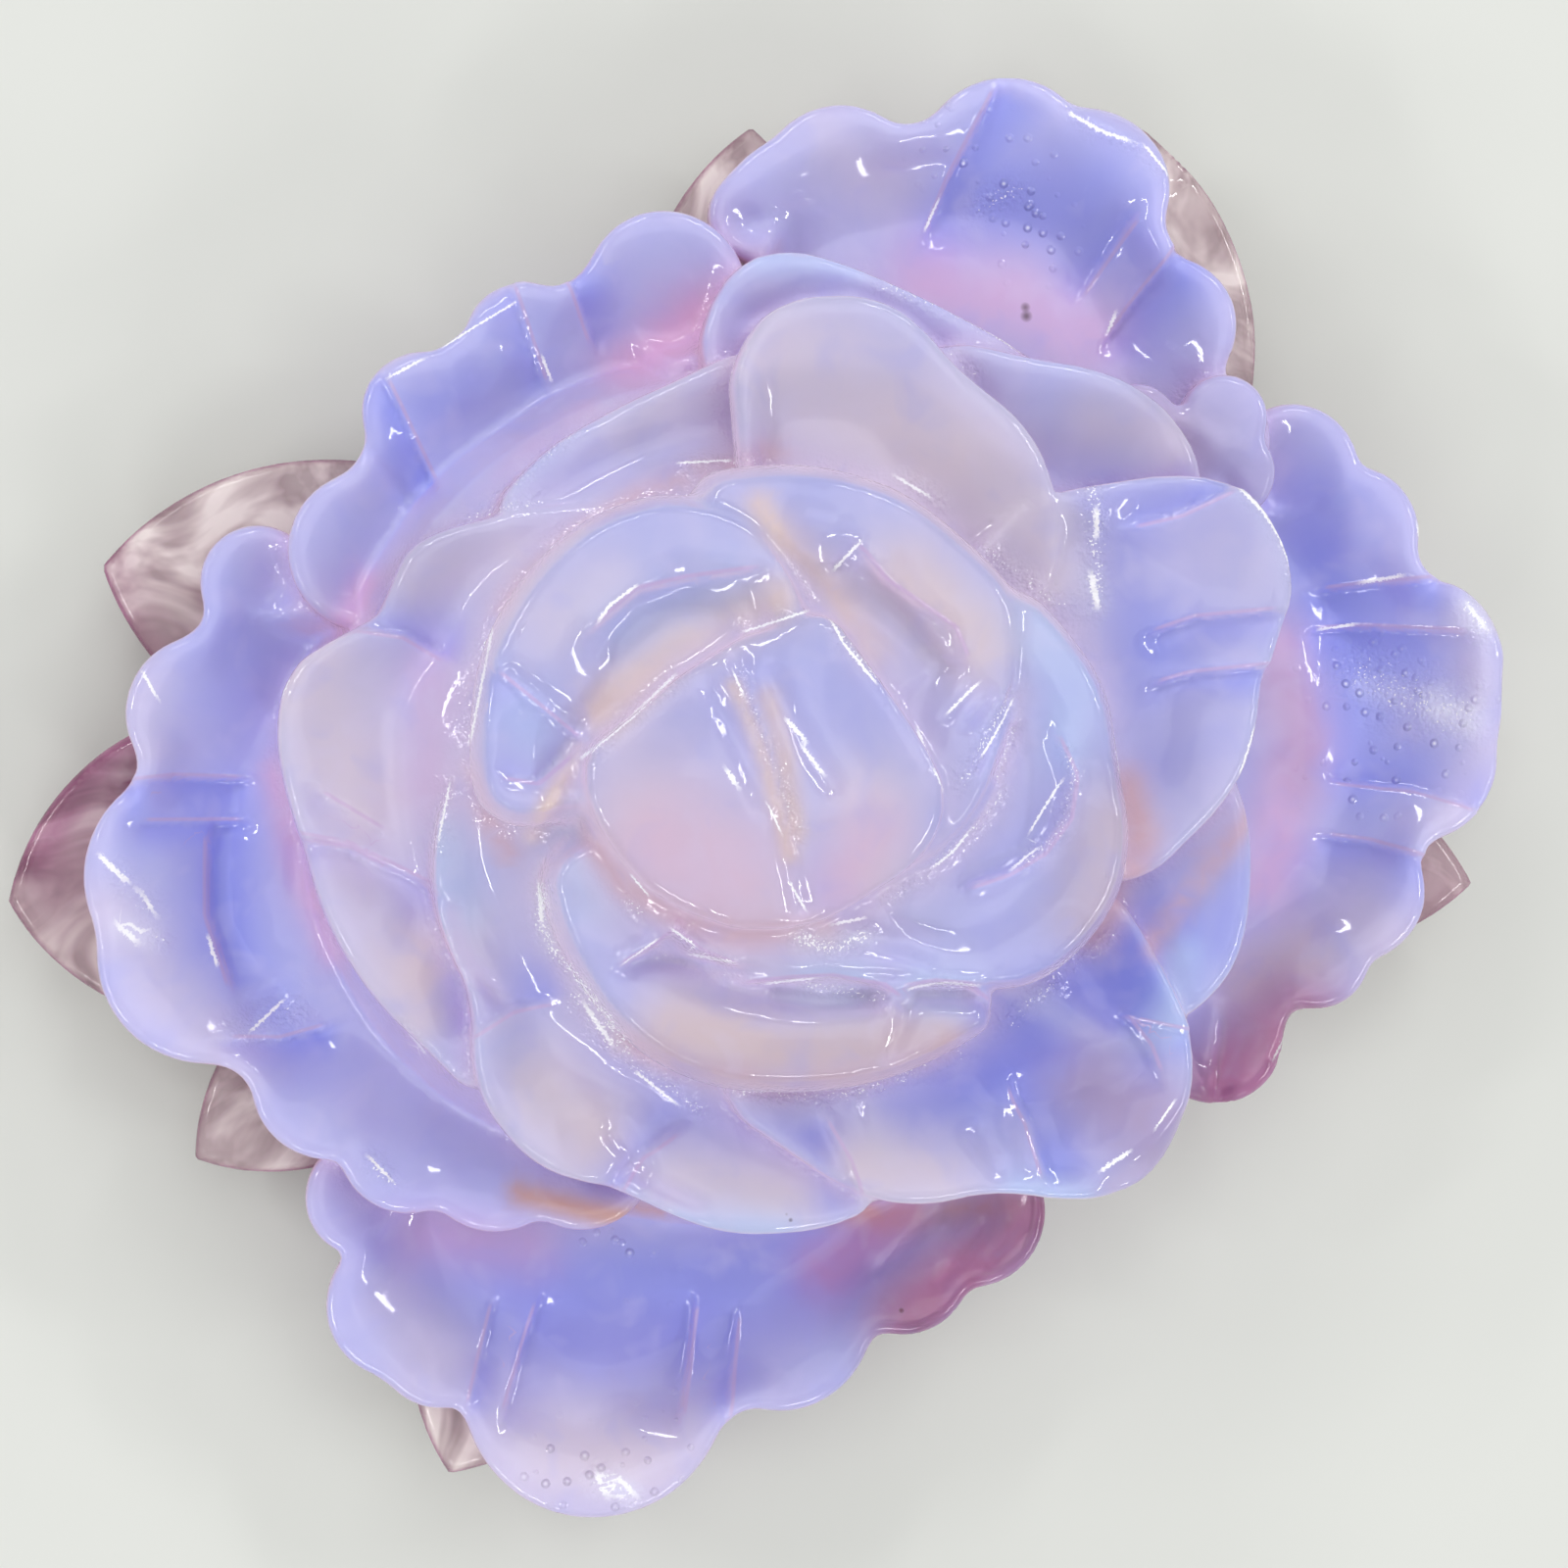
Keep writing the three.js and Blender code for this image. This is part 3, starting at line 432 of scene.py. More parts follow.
# A facet falls away on the right of its line, seen from above. Its fall, how far out it reaches its full
# depth, how far it takes to come back, the height that it is at, and its pixels.
FACETS = [
    (0.9, 0.5, 4.0, ON_LOW, [(948, 228), (965, 182), (985, 140), (1003, 105)]),
    (0.6, 0.5, 3.0, ON_LOW, [(1150, 235), (1112, 295)]),
    (0.9, 0.5, 4.0, ON_LOW, [(1133, 338), (1150, 312), (1190, 255)]),
    (1.0, 3.0, 1.0, ON_LOW, [(1184, 188), (1170, 170), (1150, 157), (1110, 143), (1083, 126)]),
    (0.6, 0.5, 3.0, ON_LOW, [(525, 305), (555, 387)]),
    (0.6, 0.5, 3.0, ON_LOW, [(597, 348), (572, 288)]),
    (0.7, 0.5, 3.0, ON_LOW, [(400, 400), (443, 487)]),
    (0.9, 2.0, 1.0, ON_LOW, [(520, 318), (470, 350), (440, 370), (400, 395)]),
    (0.8, 0.5, 4.0, ON_LOW, [(1365, 597), (1400, 593), (1452, 590)]),
    (1.0, 0.5, 5.0, ON_LOW, [(1360, 638), (1400, 636), (1480, 643)]),
    (0.8, 0.5, 4.0, ON_LOW, [(1490, 825), (1440, 808), (1375, 800)]),
    (0.9, 0.5, 4.0, ON_LOW, [(1370, 852), (1400, 856), (1455, 875)]),
    (0.7, 2.0, 1.0, ON_LOW, [(1512, 655), (1485, 612)]),
    (0.6, 1.5, 1.0, ON_LOW, [(1447, 575), (1440, 535), (1425, 505)]),
    (0.9, 0.5, 4.0, ON_LOW, [(135, 795), (180, 790), (240, 792)]),
    (0.6, 0.5, 2.0, ON_LOW, [(155, 836), (239, 836)]),
    (0.8, 0.6, 4.0, ON_LOW, [(230, 1000), (208, 935), (208, 858)]),
    (0.7, 0.5, 2.5, ON_LOW, [(243, 1056), (285, 1058), (324, 1048)]),
    (0.5, 0.5, 2.0, ON_LOW, [(478, 1425), (500, 1345)]),
    (0.9, 0.5, 4.0, ON_LOW, [(515, 1435), (545, 1345)]),
    (0.9, 0.5, 4.0, ON_LOW, [(715, 1345), (708, 1400), (700, 1440)]),
    (0.5, 0.5, 2.0, ON_LOW, [(758, 1355), (745, 1440)]),
    (0.9, 0.5, 2.5, ON_THIRD, [(1185, 640), (1220, 628), (1290, 622)]),
    (0.9, 0.5, 2.5, ON_THIRD, [(1188, 693), (1215, 685), (1295, 677)]),
    (0.8, 0.5, 2.5, ON_THIRD, [(1250, 505), (1205, 527), (1165, 536)]),
    (1.0, 1.5, 1.0, ON_THIRD, [(1325, 590), (1315, 560), (1300, 530), (1270, 498)]),
    (0.7, 1.2, 1.0, ON_THIRD, [(1268, 785), (1283, 745), (1290, 700)]),
    (0.9, 2.0, 1.0, ON_THIRD, [(1130, 1190), (1165, 1168), (1200, 1130)]),
    (0.5, 0.5, 2.0, ON_THIRD, [(1160, 1040), (1223, 1052)]),
    (0.6, 1.2, 1.0, ON_THIRD, [(1000, 400), (965, 352), (930, 320), (880, 300), (830, 302), (790, 320)]),
    (1.0, 0.6, 3.0, ON_SECOND, [(446, 672), (412, 652), (363, 645), (325, 657), (302, 680), (287, 712)]),
    (0.6, 0.5, 2.5, ON_SECOND, [(336, 811), (387, 842)]),
    (0.6, 0.5, 2.5, ON_SECOND, [(323, 856), (355, 862), (390, 880)]),
    (0.8, 0.8, 5.0, ON_SECOND, [(310, 850), (355, 858), (400, 880), (440, 900)]),
    (0.6, 0.8, 4.0, ON_THIRD, [(560, 1028), (525, 1035), (487, 1058)]),
    (0.8, 0.8, 4.0, ON_THIRD, [(690, 1165), (660, 1185), (640, 1215)]),
    (0.7, 1.2, 1.0, ON_THIRD, [(492, 1024), (470, 1000), (455, 972), (446, 940)]),
    (0.6, 1.5, 1.0, ON_THIRD, [(700, 1248), (665, 1232), (645, 1218)]),
    (0.8, 0.8, 4.0, ON_THIRD, [(1062, 1195), (1052, 1150), (1038, 1120)]),
    (0.6, 0.8, 4.0, ON_THIRD, [(850, 1150), (870, 1185), (880, 1215)]),
    (0.5, 0.6, 3.0, ON_THIRD, [(1160, 1040), (1180, 1068), (1186, 1088)]),
    (1.0, 0.4, 4.0, ON_INNER, [(515, 690), (550, 718), (588, 748)]),
    (0.5, 0.4, 2.0, ON_INNER, [(580, 775), (550, 800), (520, 795)]),
    (0.8, 0.5, 4.0, ON_INNER, [(612, 632), (650, 600), (700, 588), (765, 580)]),
    (0.8, 0.5, 3.0, ON_INNER, [(880, 560), (905, 590), (940, 615), (975, 640), (985, 665)]),
    (0.7, 0.4, 3.0, ON_INNER, [
        (1085, 757), (1100, 790), (1095, 835), (1070, 872), (1035, 893), (1000, 905)]),
    (0.9, 0.4, 1.6, ON_INNER, [(770, 1002), (810, 997), (850, 995), (905, 1005), (918, 1015)]),
    (0.9, 0.4, 1.6, ON_INNER, [(930, 1005), (955, 1000), (990, 1003), (1012, 1020)]),
    (0.6, 0.4, 3.0, ON_INNER, [(690, 945), (715, 968), (748, 982)]),
    (0.6, 0.4, 3.0, ON_INNER, [(640, 980), (668, 965), (690, 945)]),
]
FACET_END = 1.5
UNEVENNESS = 0.08
UNEVEN_WAVES = [(0.42, 0.31, 1), (-0.27, 0.53, 2)]


def beside_line(x, y, points):
    """How far some points are from a line, and how far of that is to its right."""
    nearest = np.full(np.broadcast(x, y).shape, np.inf)
    to_right = np.zeros_like(nearest)
    for (from_x, from_y), (to_x, to_y) in zip(points, points[1:]):
        run_x, run_y = to_x - from_x, to_y - from_y
        share = ((x - from_x) * run_x + (y - from_y) * run_y) / (run_x ** 2 + run_y ** 2)
        share = np.clip(share, 0, 1)
        away = np.hypot(x - from_x - share * run_x, y - from_y - share * run_y)
        right = ((x - from_x) * run_y - (y - from_y) * run_x) / math.hypot(run_x, run_y)
        to_right = np.where(away < nearest, right, to_right)
        nearest = np.minimum(nearest, away)
    return nearest, to_right


def stroke(x, y, points, half_width):
    """1 along a line through some points, fading to 0 at about twice the half width to its sides."""
    nearest, _ = beside_line(x, y, points)
    return np.exp(-((nearest / half_width) ** 2))


def facet(x, y, points, rise, fade):
    """0 up to a line and 1 where a facet to the right of it is deepest, fading out beyond."""
    nearest, to_right = beside_line(x, y, points)
    past_end = np.sqrt(np.maximum(nearest ** 2 - to_right ** 2, 0))
    coming_back = np.exp(-((np.maximum(to_right - rise, 0) / fade) ** 2))
    return eased(to_right / rise) * coming_back * np.exp(-((past_end / FACET_END) ** 2))


def cut_depth(x, y):
    """How much lower the finished surface is than the form."""
    waves = [np.sin(across * x + along * y + start) for across, along, start in UNEVEN_WAVES]
    depth = UNEVENNESS * (waves[0] + waves[1])
    for sign, strokes in ((1, CUTS), (1, HOLLOWS), (-1, FOLDS)):
        for deep, half_width, height, pixels in strokes:
            points = [seen_at(pixel, height) for pixel in pixels]
            depth = depth + sign * deep * stroke(x, y, points, half_width)
    for fall, rise, fade, height, pixels in FACETS:
        points = [seen_at(pixel, height) for pixel in pixels]
        depth = depth + fall * facet(x, y, points, rise, fade)
    return depth


print(len(CUTS), "cuts,", len(FOLDS), "folds,", len(HOLLOWS), "hollows and", len(FACETS), "facets")

# %% [markdown]
# ## The whole carving as one surface
# All forms are joined on a grid of half a millimetre, which OpenVDB turns into quads where the distance
# is zero. Blender's Remesh modifier could do the same from overlapping meshes, but it would lose the
# fillets. The quads are thinned to what the shape needs, and each corner is then moved onto the exact
# surface along its slope.

# %% Join the forms and draw the surface
GRID_STEP = 0.5
GRID_MARGIN = 1.5
MOST_TRIANGLES = 190_000
SLOPE_STEP, LONGEST_MOVE, LEAST_STEEPNESS, SETTLE_PASSES = 0.05, 0.3, 0.25, 2


def stone_form(x, y, z):
    """How far a point is outside the carving."""
    lowered = z + cut_depth(x, y)
    form = heart_form(x, y, lowered)
    for petal in PETALS.values():
        form = joined(form, petal_form(petal, x, y, lowered), petal["fillet"])
    for leaf in LEAVES.values():
        form = joined(form, leaf_form(leaf, x, y, lowered), LEAF_FILLET)
    form = joined(form, bud_form(x, y, lowered), BUD_FILLET)
    return np.maximum(form, -z)


def grid_surface():
    """The carving's surface as corners in millimetres, and quads."""
    low, high = [np.array(corner) / MILLIMETRE for corner in cad_box]
    axes = [np.arange(start - GRID_MARGIN, end + GRID_MARGIN, GRID_STEP, dtype=np.float32)
            for start, end in zip(low, high)]
    form = stone_form(axes[0][:, None, None], axes[1][None, :, None], axes[2][None, None, :])
    grid = openvdb.FloatGrid()
    grid.copyFromArray(np.ascontiguousarray(form, dtype=np.float32))
    corners, _, quads = grid.convertToPolygons(isovalue=0.0, adaptivity=0.0)
    return corners * GRID_STEP + np.array([axis[0] for axis in axes]), quads


def mesh_of(corners, faces):
    """A mesh in metres from corners in millimetres."""
    mesh = bpy.data.meshes.new("flower")
    mesh.from_pydata((corners * MILLIMETRE).tolist(), [], faces.tolist())
    return mesh


def corners_of(mesh):
    """A mesh's corners in millimetres."""
    corners = np.empty(len(mesh.vertices) * 3)
    mesh.vertices.foreach_get("co", corners)
    return corners.reshape(-1, 3) / MILLIMETRE


def thinned(mesh):
    """The mesh with no more triangles than it may have, fewest where it is flat."""
    holder = bpy.data.objects.new("thinned", mesh)
    bpy.context.scene.collection.objects.link(holder)
    thinning = holder.modifiers.new("thin", "DECIMATE")
    thinning.ratio = min(1, MOST_TRIANGLES / (2 * len(mesh.polygons)))
    evaluated = holder.evaluated_get(bpy.context.evaluated_depsgraph_get())
    result = bpy.data.meshes.new_from_object(evaluated)
    bpy.data.objects.remove(holder)
    return result


def settled(corners):
    """The corners moved onto the exact surface, along its slope."""
    reach = SLOPE_STEP
    for _ in range(SETTLE_PASSES):
        x, y, z = corners.T
        form = stone_form(x, y, z)
        slope = np.stack([
            stone_form(x + reach, y, z) - stone_form(x - reach, y, z),
            stone_form(x, y + reach, z) - stone_form(x, y - reach, z),
            stone_form(x, y, z + reach) - stone_form(x, y, z - reach),
        ], axis=1) / (2 * reach)
        steepness = np.maximum((slope ** 2).sum(axis=1), LEAST_STEEPNESS)
        move = -slope * (form / steepness)[:, None]
        length = np.maximum(np.linalg.norm(move, axis=1), 1e-9)
        corners = corners + move * np.minimum(1, LONGEST_MOVE / length)[:, None]
    return corners


rough_mesh = mesh_of(*grid_surface())
flower_mesh = thinned(rough_mesh)
corners = settled(corners_of(flower_mesh))
flower_mesh.vertices.foreach_set("co", (corners * MILLIMETRE).ravel())
flower_mesh.polygons.foreach_set("use_smooth", np.ones(len(flower_mesh.polygons), dtype=bool))
flower_mesh.update()
print(len(rough_mesh.polygons), "quads thinned to", len(flower_mesh.polygons), "faces")

# %% [markdown]
# ## Where the stone is cloudy, and where light is painted
# The colour of this stone comes from inside: blue where it scatters light, milky where it is thick and
# cloudy, and clear at some thin ends. Rose and amber in the creases are painted glow, the light that
# shines through the stone laid on as colour, and the pale thin edges are painted light too. The white
# glints, glare and lines are painted highlights. Painting a texture would tie it to one mesh. Instead each
# tint is a number at every corner of the mesh. Some follow the form, such as the pale edges and the
# painted glow beside a petal's foot. The rest are strokes, placed as the cuts are.

# %% Clouds and glows as strokes
# Strength and half width in millimetres, height, and pixels of the photograph.
CLOUDS = {
    "milk": [
        (0.9, 7, ON_THIRD, [(810, 390), (900, 430), (990, 500), (1050, 570)]),
        (0.3, 5, ON_THIRD, [(1190, 570), (1270, 600)]),
        (0.3, 4.5, ON_THIRD, [(1215, 740), (1240, 830)]),
        (1.0, 4.5, ON_THIRD, [(550, 1120), (600, 1155)]),
        (0.9, 3.5, ON_THIRD, [(700, 1200), (800, 1220)]),
        (0.5, 3, ON_THIRD, [(480, 950), (500, 1030)]),
        (0.9, 3.2, ON_THIRD, [(880, 1190), (960, 1200)]),
        (0.9, 6, ON_SECOND, [(320, 700), (360, 760), (370, 830)]),
        (0.8, 4.5, ON_SECOND, [(360, 890), (400, 990)]),
        (0.6, 4, ON_SECOND, [(430, 590), (510, 570)]),
        (0.5, 3.5, ON_SECOND, [(640, 430), (720, 405)]),
        (0.7, 3.2, ON_SECOND, [(1120, 430), (1190, 450)]),
        (0.4, 4, ON_LOW, [(840, 150), (900, 185)]),
        (0.8, 5.5, ON_LOW, [(550, 1480), (670, 1480)]),
        (0.5, 3.5, ON_LOW, [(400, 1330), (440, 1390)]),
        (0.5, 3, ON_LOW, [(120, 930), (170, 1010), (240, 1080)]),
        (0.4, 2.5, ON_LOW, [(150, 690), (150, 760)]),
        (0.5, 2.5, ON_LOW, [(1490, 640), (1505, 760), (1460, 850)]),
        (0.5, 4, ON_LOW, [(1390, 930), (1430, 970)]),
        (0.9, 3, ON_LOW, [(1285, 1005), (1330, 975)]),
        (0.9, 6, ON_BUD, [(670, 840), (750, 910)]),
        (0.8, 4, ON_BUD, [(890, 820), (890, 880)]),
        (0.6, 4, ON_INNER, [(900, 590), (990, 650)]),
        (0.5, 3, ON_INNER, [(560, 640), (620, 600)]),
    ],
    "blue": [
        (1.1, 5, ON_LOW, [(420, 1290), (560, 1320), (700, 1320), (860, 1290)]),
        (0.9, 4, ON_LOW, [(560, 1375), (640, 1400), (720, 1375)]),
        (1.0, 2.5, ON_LOW, [(545, 1385), (600, 1385)]),
        (0.7, 4, ON_LOW, [(960, 240), (1020, 190), (1110, 200), (1140, 260)]),
        (0.8, 2, ON_LOW, [(950, 255), (975, 230)]),
        (0.5, 4, ON_LOW, [(235, 640), (265, 760), (240, 870), (240, 960), (300, 1070)]),
        (0.2, 4, ON_LOW, [(420, 430), (500, 400), (590, 360)]),
        (0.8, 4.5, ON_LOW, [(1340, 520), (1380, 680), (1390, 790)]),
        (0.7, 3, ON_LOW, [(1340, 890), (1420, 905)]),
        (0.9, 5.5, ON_THIRD, [(1135, 550), (1175, 640), (1180, 760)]),
        (1.4, 5, ON_THIRD, [(930, 1105), (1040, 1055), (1120, 1005), (1185, 955)]),
        (0.8, 3, ON_SECOND, [(1235, 960), (1272, 880), (1292, 820)]),
        (0.6, 3, ON_THIRD, [(640, 1080), (700, 1160), (820, 1190)]),
        (0.15, 4, ON_BUD, [(700, 760), (830, 680), (900, 760)]),
    ],
    "deep": [
        (1.7, 4, ON_THIRD, [(985, 1072), (1080, 1040), (1150, 990)]),
        (0.5, 2.5, ON_THIRD, [(700, 1150), (830, 1175)]),
        (0.7, 4, ON_LOW, [(560, 1370), (640, 1395), (720, 1370)]),
        (0.5, 3, ON_LOW, [(225, 850), (222, 960)]),
        (0.5, 3, ON_LOW, [(1010, 215), (1090, 230)]),
        (0.5, 2.5, ON_LOW, [(1350, 560), (1390, 680)]),
        (0.4, 2.5, ON_LOW, [(440, 420), (480, 400)]),
        (0.4, 2.5, ON_THIRD, [(1150, 570), (1160, 660)]),
    ],
    "rose": [
        (0.6, 4, ON_LOW, [(950, 285), (1040, 300), (1110, 340)]),
        (1.0, 2.8, ON_LOW, [(640, 380), (720, 330), (775, 312)]),
        (0.6, 1.2, ON_LOW, [(485, 525), (540, 470), (600, 430)]),
        (0.7, 3, ON_LOW, [(1310, 660), (1335, 760), (1300, 900)]),
        (0.3, 3.5, ON_THIRD, [(1120, 1105), (1180, 1150)]),
        (0.4, 2.5, ON_SECOND, [(440, 690), (440, 800)]),
        (0.5, 3, ON_LOW, [(430, 1265), (540, 1275)]),
        (0.7, 1.5, ON_LOW, [(283, 790), (300, 870), (340, 970)]),
        (0.7, 1.5, ON_LOW, [(375, 600), (350, 645)]),
        (0.4, 5, ON_BUD, [(680, 860), (740, 900)]),
        (0.4, 3, ON_BUD, [(890, 850), (860, 900)]),
    ],
    # Painted glow in the creases, where light shines through the stone.
    "crease": [
        (0.7, 1.2, ON_THIRD, [(790, 462), (700, 482), (650, 507), (600, 545), (550, 588), (520, 620)]),
        (0.7, 1.0, ON_THIRD, [(490, 790), (500, 840), (520, 872)]),
        (1.1, 1.6, ON_THIRD, [(1150, 800), (1162, 850), (1150, 900), (1122, 955)]),
        (0.8, 1.2, 31, [(640, 1065), (700, 1092), (800, 1108), (900, 1096), (970, 1068)]),
        (0.8, 1.0, ON_SECOND, [(1165, 965), (1215, 900), (1262, 840), (1285, 790)]),
        (0.8, 1.2, ON_BUD, [(605, 850), (640, 905), (700, 940), (760, 955), (850, 948)]),
    ],
    # Painted glow in the gaps between petals.
    "ember": [
        (0.9, 1.4, ON_LOW, [(825, 1205), (860, 1235), (905, 1248), (1000, 1238), (1060, 1234)]),
        (0.9, 1.1, 17, [(530, 1215), (600, 1232), (680, 1245)]),
    ],
    # Painted glow: amber where light shines through the hollows and cuts.
    "amber": [
        (0.8, 1.2, ON_INNER, [(775, 515), (800, 555), (850, 598), (868, 630)]),
        (0.9, 2.2, ON_INNER, [(616, 726), (690, 656), (785, 612)]),
        (1.0, 0.9, ON_INNER, [(590, 765), (570, 800), (547, 852)]),
        (0.6, 1.8, ON_INNER, [(790, 540), (850, 600), (890, 660)]),
        (0.5, 3, ON_INNER, [(1135, 840), (1115, 930)]),
        (0.8, 3.5, ON_INNER, [(690, 1050), (800, 1075), (960, 1060)]),
        (0.4, 2, ON_SECOND, [(432, 960), (430, 1040)]),
        (0.5, 3, ON_INNER, [(930, 580), (1000, 660)]),
        (0.6, 0.8, ON_BUD, [(750, 700), (775, 760), (795, 830), (806, 872)]),
        (0.6, 1.0, ON_BUD, [(785, 712), (800, 770), (812, 850)]),
    ],
    "sky": [
        (0.6, 2.5, ON_INNER, [(1060, 640), (1095, 700), (1085, 760)]),
        (0.5, 2.2, ON_THIRD, [(455, 860), (470, 930)]),
        (0.8, 2, ON_INNER, [(830, 1010), (870, 1012)]),
        (0.8, 2, ON_INNER, [(945, 1012), (975, 1015)]),
        (0.5, 2.2, ON_INNER, [(585, 850), (600, 920)]),
        (0.5, 2.2, ON_INNER, [(535, 735), (560, 760)]),
        (0.7, 2, ON_THIRD, [(1215, 980), (1195, 1045)]),
        (0.6, 1.5, ON_THIRD, [(1040, 1210), (1100, 1225)]),
        (0.6, 1.5, ON_THIRD, [(700, 1245), (800, 1258)]),
        (0.6, 1.5, ON_SECOND, [(780, 262), (870, 275)]),
        (0.4, 3, ON_INNER, [(640, 640), (750, 600)]),
    ],
    # Painted glints: white specks of reflected light, thickest along creases and ridges. The same mask
    # raises a fine grain relief there.
    "glints_and_grain": [
        (0.6, 0.8, ON_INNER, [(600, 770), (650, 725), (690, 692)]),
        (0.6, 0.6, ON_INNER, [(760, 640), (815, 626)]),
        (0.9, 0.6, ON_BUD, [(855, 640), (870, 660), (898, 692)]),
        (0.7, 0.7, ON_BUD, [(757, 690), (765, 720), (795, 790), (815, 850)]),
        (0.8, 0.8, ON_INNER, [(980, 800), (1005, 755), (1030, 710)]),
        (0.8, 0.7, ON_INNER, [(1022, 795), (1038, 742)]),
        (0.8, 0.7, ON_INNER, [(960, 880), (1000, 845), (1030, 808)]),
        (0.8, 0.6, ON_INNER, [(1050, 880), (1085, 850), (1097, 790), (1090, 765)]),
        (1.0, 0.9, ON_INNER, [(818, 958), (850, 968), (882, 955)]),
        (0.7, 0.6, ON_INNER, [(905, 920), (950, 895)]),
        (0.8, 0.6, ON_INNER, [(688, 950), (720, 972), (745, 982)]),
        (0.9, 0.6, ON_INNER, [(640, 920), (652, 930)]),
        (0.8, 0.8, ON_INNER, [(825, 1008), (870, 1014), (905, 1020)]),
        (0.8, 0.8, ON_INNER, [(960, 1006), (985, 1010)]),
        (1.0, 0.7, ON_THIRD, [(553, 905), (552, 940), (562, 968), (590, 998), (620, 1040), (640, 1070)]),
        (0.9, 0.6, ON_THIRD, [(585, 1015), (605, 1045), (630, 1075), (646, 1090)]),
        (0.8, 0.7, ON_THIRD, [(655, 1092), (680, 1106), (700, 1125), (720, 1140)]),
        (0.8, 0.8, ON_THIRD, [
            (750, 1112), (800, 1118), (850, 1122), (900, 1112), (950, 1090), (990, 1075)]),
        (0.8, 0.8, ON_THIRD, [(1030, 1052), (1060, 1022), (1085, 1003)]),
        (0.9, 0.9, ON_THIRD, [(1060, 988), (1095, 968)]),
        (0.7, 0.7, ON_THIRD, [(1105, 985), (1140, 955)]),
        (0.9, 1.0, ON_THIRD, [(1112, 500), (1118, 548), (1120, 615)]),
        (0.8, 0.9, ON_THIRD, [(1005, 562), (1045, 592), (1092, 622)]),
        (0.7, 0.8, ON_THIRD, [(930, 495), (960, 515)]),
        (0.7, 0.7, ON_INNER, [(1128, 680), (1148, 742), (1148, 790)]),
        (0.8, 0.8, ON_THIRD, [(458, 805), (450, 835), (446, 865)]),
        (0.8, 0.7, ON_THIRD, [(497, 650), (492, 690), (480, 745)]),
        (0.7, 0.7, ON_THIRD, [(410, 1052), (440, 1085), (490, 1142)]),
        (0.7, 0.8, ON_THIRD, [(700, 470), (740, 468), (790, 478)]),
        (0.8, 0.7, ON_SECOND, [(480, 525), (500, 520), (540, 515)]),
        (0.7, 0.6, ON_SECOND, [(505, 505), (530, 490), (555, 470), (590, 435)]),
        (0.8, 0.8, ON_SECOND, [(905, 288), (950, 305), (990, 320), (1050, 356)]),
        (0.7, 0.6, ON_SECOND, [(952, 345), (998, 385)]),
        (0.7, 0.9, ON_THIRD, [(1268, 500), (1293, 530), (1309, 560), (1316, 590)]),
        (0.7, 0.6, ON_LOW, [(1085, 126), (1110, 143), (1150, 157), (1182, 186)]),
        (0.8, 1.1, ON_LOW, [(1003, 208), (1038, 192)]),
        (0.8, 1.2, ON_LOW, [(1487, 620), (1505, 645)]),
        (0.75, 3.0, ON_LOW, [(1400, 690), (1480, 728)]),
        (0.7, 1.2, ON_LOW, [(125, 890), (150, 925)]),
        (0.7, 0.8, ON_LOW, [(150, 950), (165, 960)]),
        (0.6, 1.6, ON_LOW, [(250, 1050), (300, 1030)]),
        (0.8, 0.9, ON_LOW, [(380, 1180), (400, 1200)]),
        (0.8, 1.2, ON_LOW, [(610, 1510), (640, 1525)]),
        (0.6, 0.8, ON_LOW, [(1300, 1075), (1318, 1050)]),
    ],
    # Painted glare: soft white patches of reflected light.
    "glare_patch": [
        (0.3, 1.2, ON_LOW, [(1400, 700), (1440, 712)]),
        (1.0, 1.3, ON_LOW, [(1466, 722), (1490, 734)]),
        (0.7, 1.1, ON_LOW, [(1490, 622), (1503, 642)]),
        (0.6, 1.0, ON_LOW, [(128, 945), (150, 955)]),
        (0.6, 1.0, ON_LOW, [(620, 1512), (642, 1520)]),
        (0.35, 0.7, ON_THIRD, [(553, 915), (560, 965)]),
        (0.3, 0.6, ON_THIRD, [(590, 1000), (640, 1075)]),
        (0.4, 1.0, ON_THIRD, [(1112, 590), (1120, 615)]),
        (0.4, 1.2, ON_INNER, [(818, 958), (882, 955)]),
    ],
    "bubbles": [
        (1.0, 3.5, ON_LOW, [(1390, 700), (1480, 740), (1400, 790)]),
        (1.0, 2.5, ON_LOW, [(565, 1500), (640, 1520), (690, 1470)]),
        (0.8, 3, ON_LOW, [(970, 150), (1040, 190), (1060, 240)]),
        (0.7, 2, ON_LOW, [(620, 1280), (660, 1320)]),
    ],
    "mauve": [
        (0.5, 4.5, ON_THIRD, [(1120, 1105), (1170, 1150)]),
        (0.3, 3, ON_INNER, [(1135, 800), (1120, 860), (1095, 930)]),
        (0.25, 3.5, ON_INNER, [(700, 1070), (800, 1085), (930, 1065)]),
        (0.3, 5, ON_SECOND, [(1200, 400), (1250, 440), (1290, 480)]),
        (0.3, 3, ON_LOW, [(1320, 700), (1335, 790)]),
        (0.2, 5, ON_LOW, [(1380, 930), (1430, 980)]),
        (0.2, 7, ON_LOW, [(480, 1370), (640, 1390), (800, 1360)]),
        (0.25, 5, ON_LOW, [(540, 420), (600, 390)]),
        (0.25, 4, ON_SECOND, [(400, 590), (440, 550)]),
    ],
    "plum": [
        (0.9, 2.2, ON_LEAF, [(40, 880), (75, 815), (125, 760), (160, 740)]),
        (0.5, 3.5, ON_LEAF, [(60, 900), (100, 840), (150, 800)]),
        (0.4, 2, ON_LEAF, [(118, 575), (135, 640), (160, 680)]),
        (0.5, 2.2, ON_LEAF, [(330, 1170), (370, 1215), (430, 1250)]),
        (0.3, 3.5, ON_LEAF, [(1440, 880), (1480, 930)]),
    ],
    "blush": [
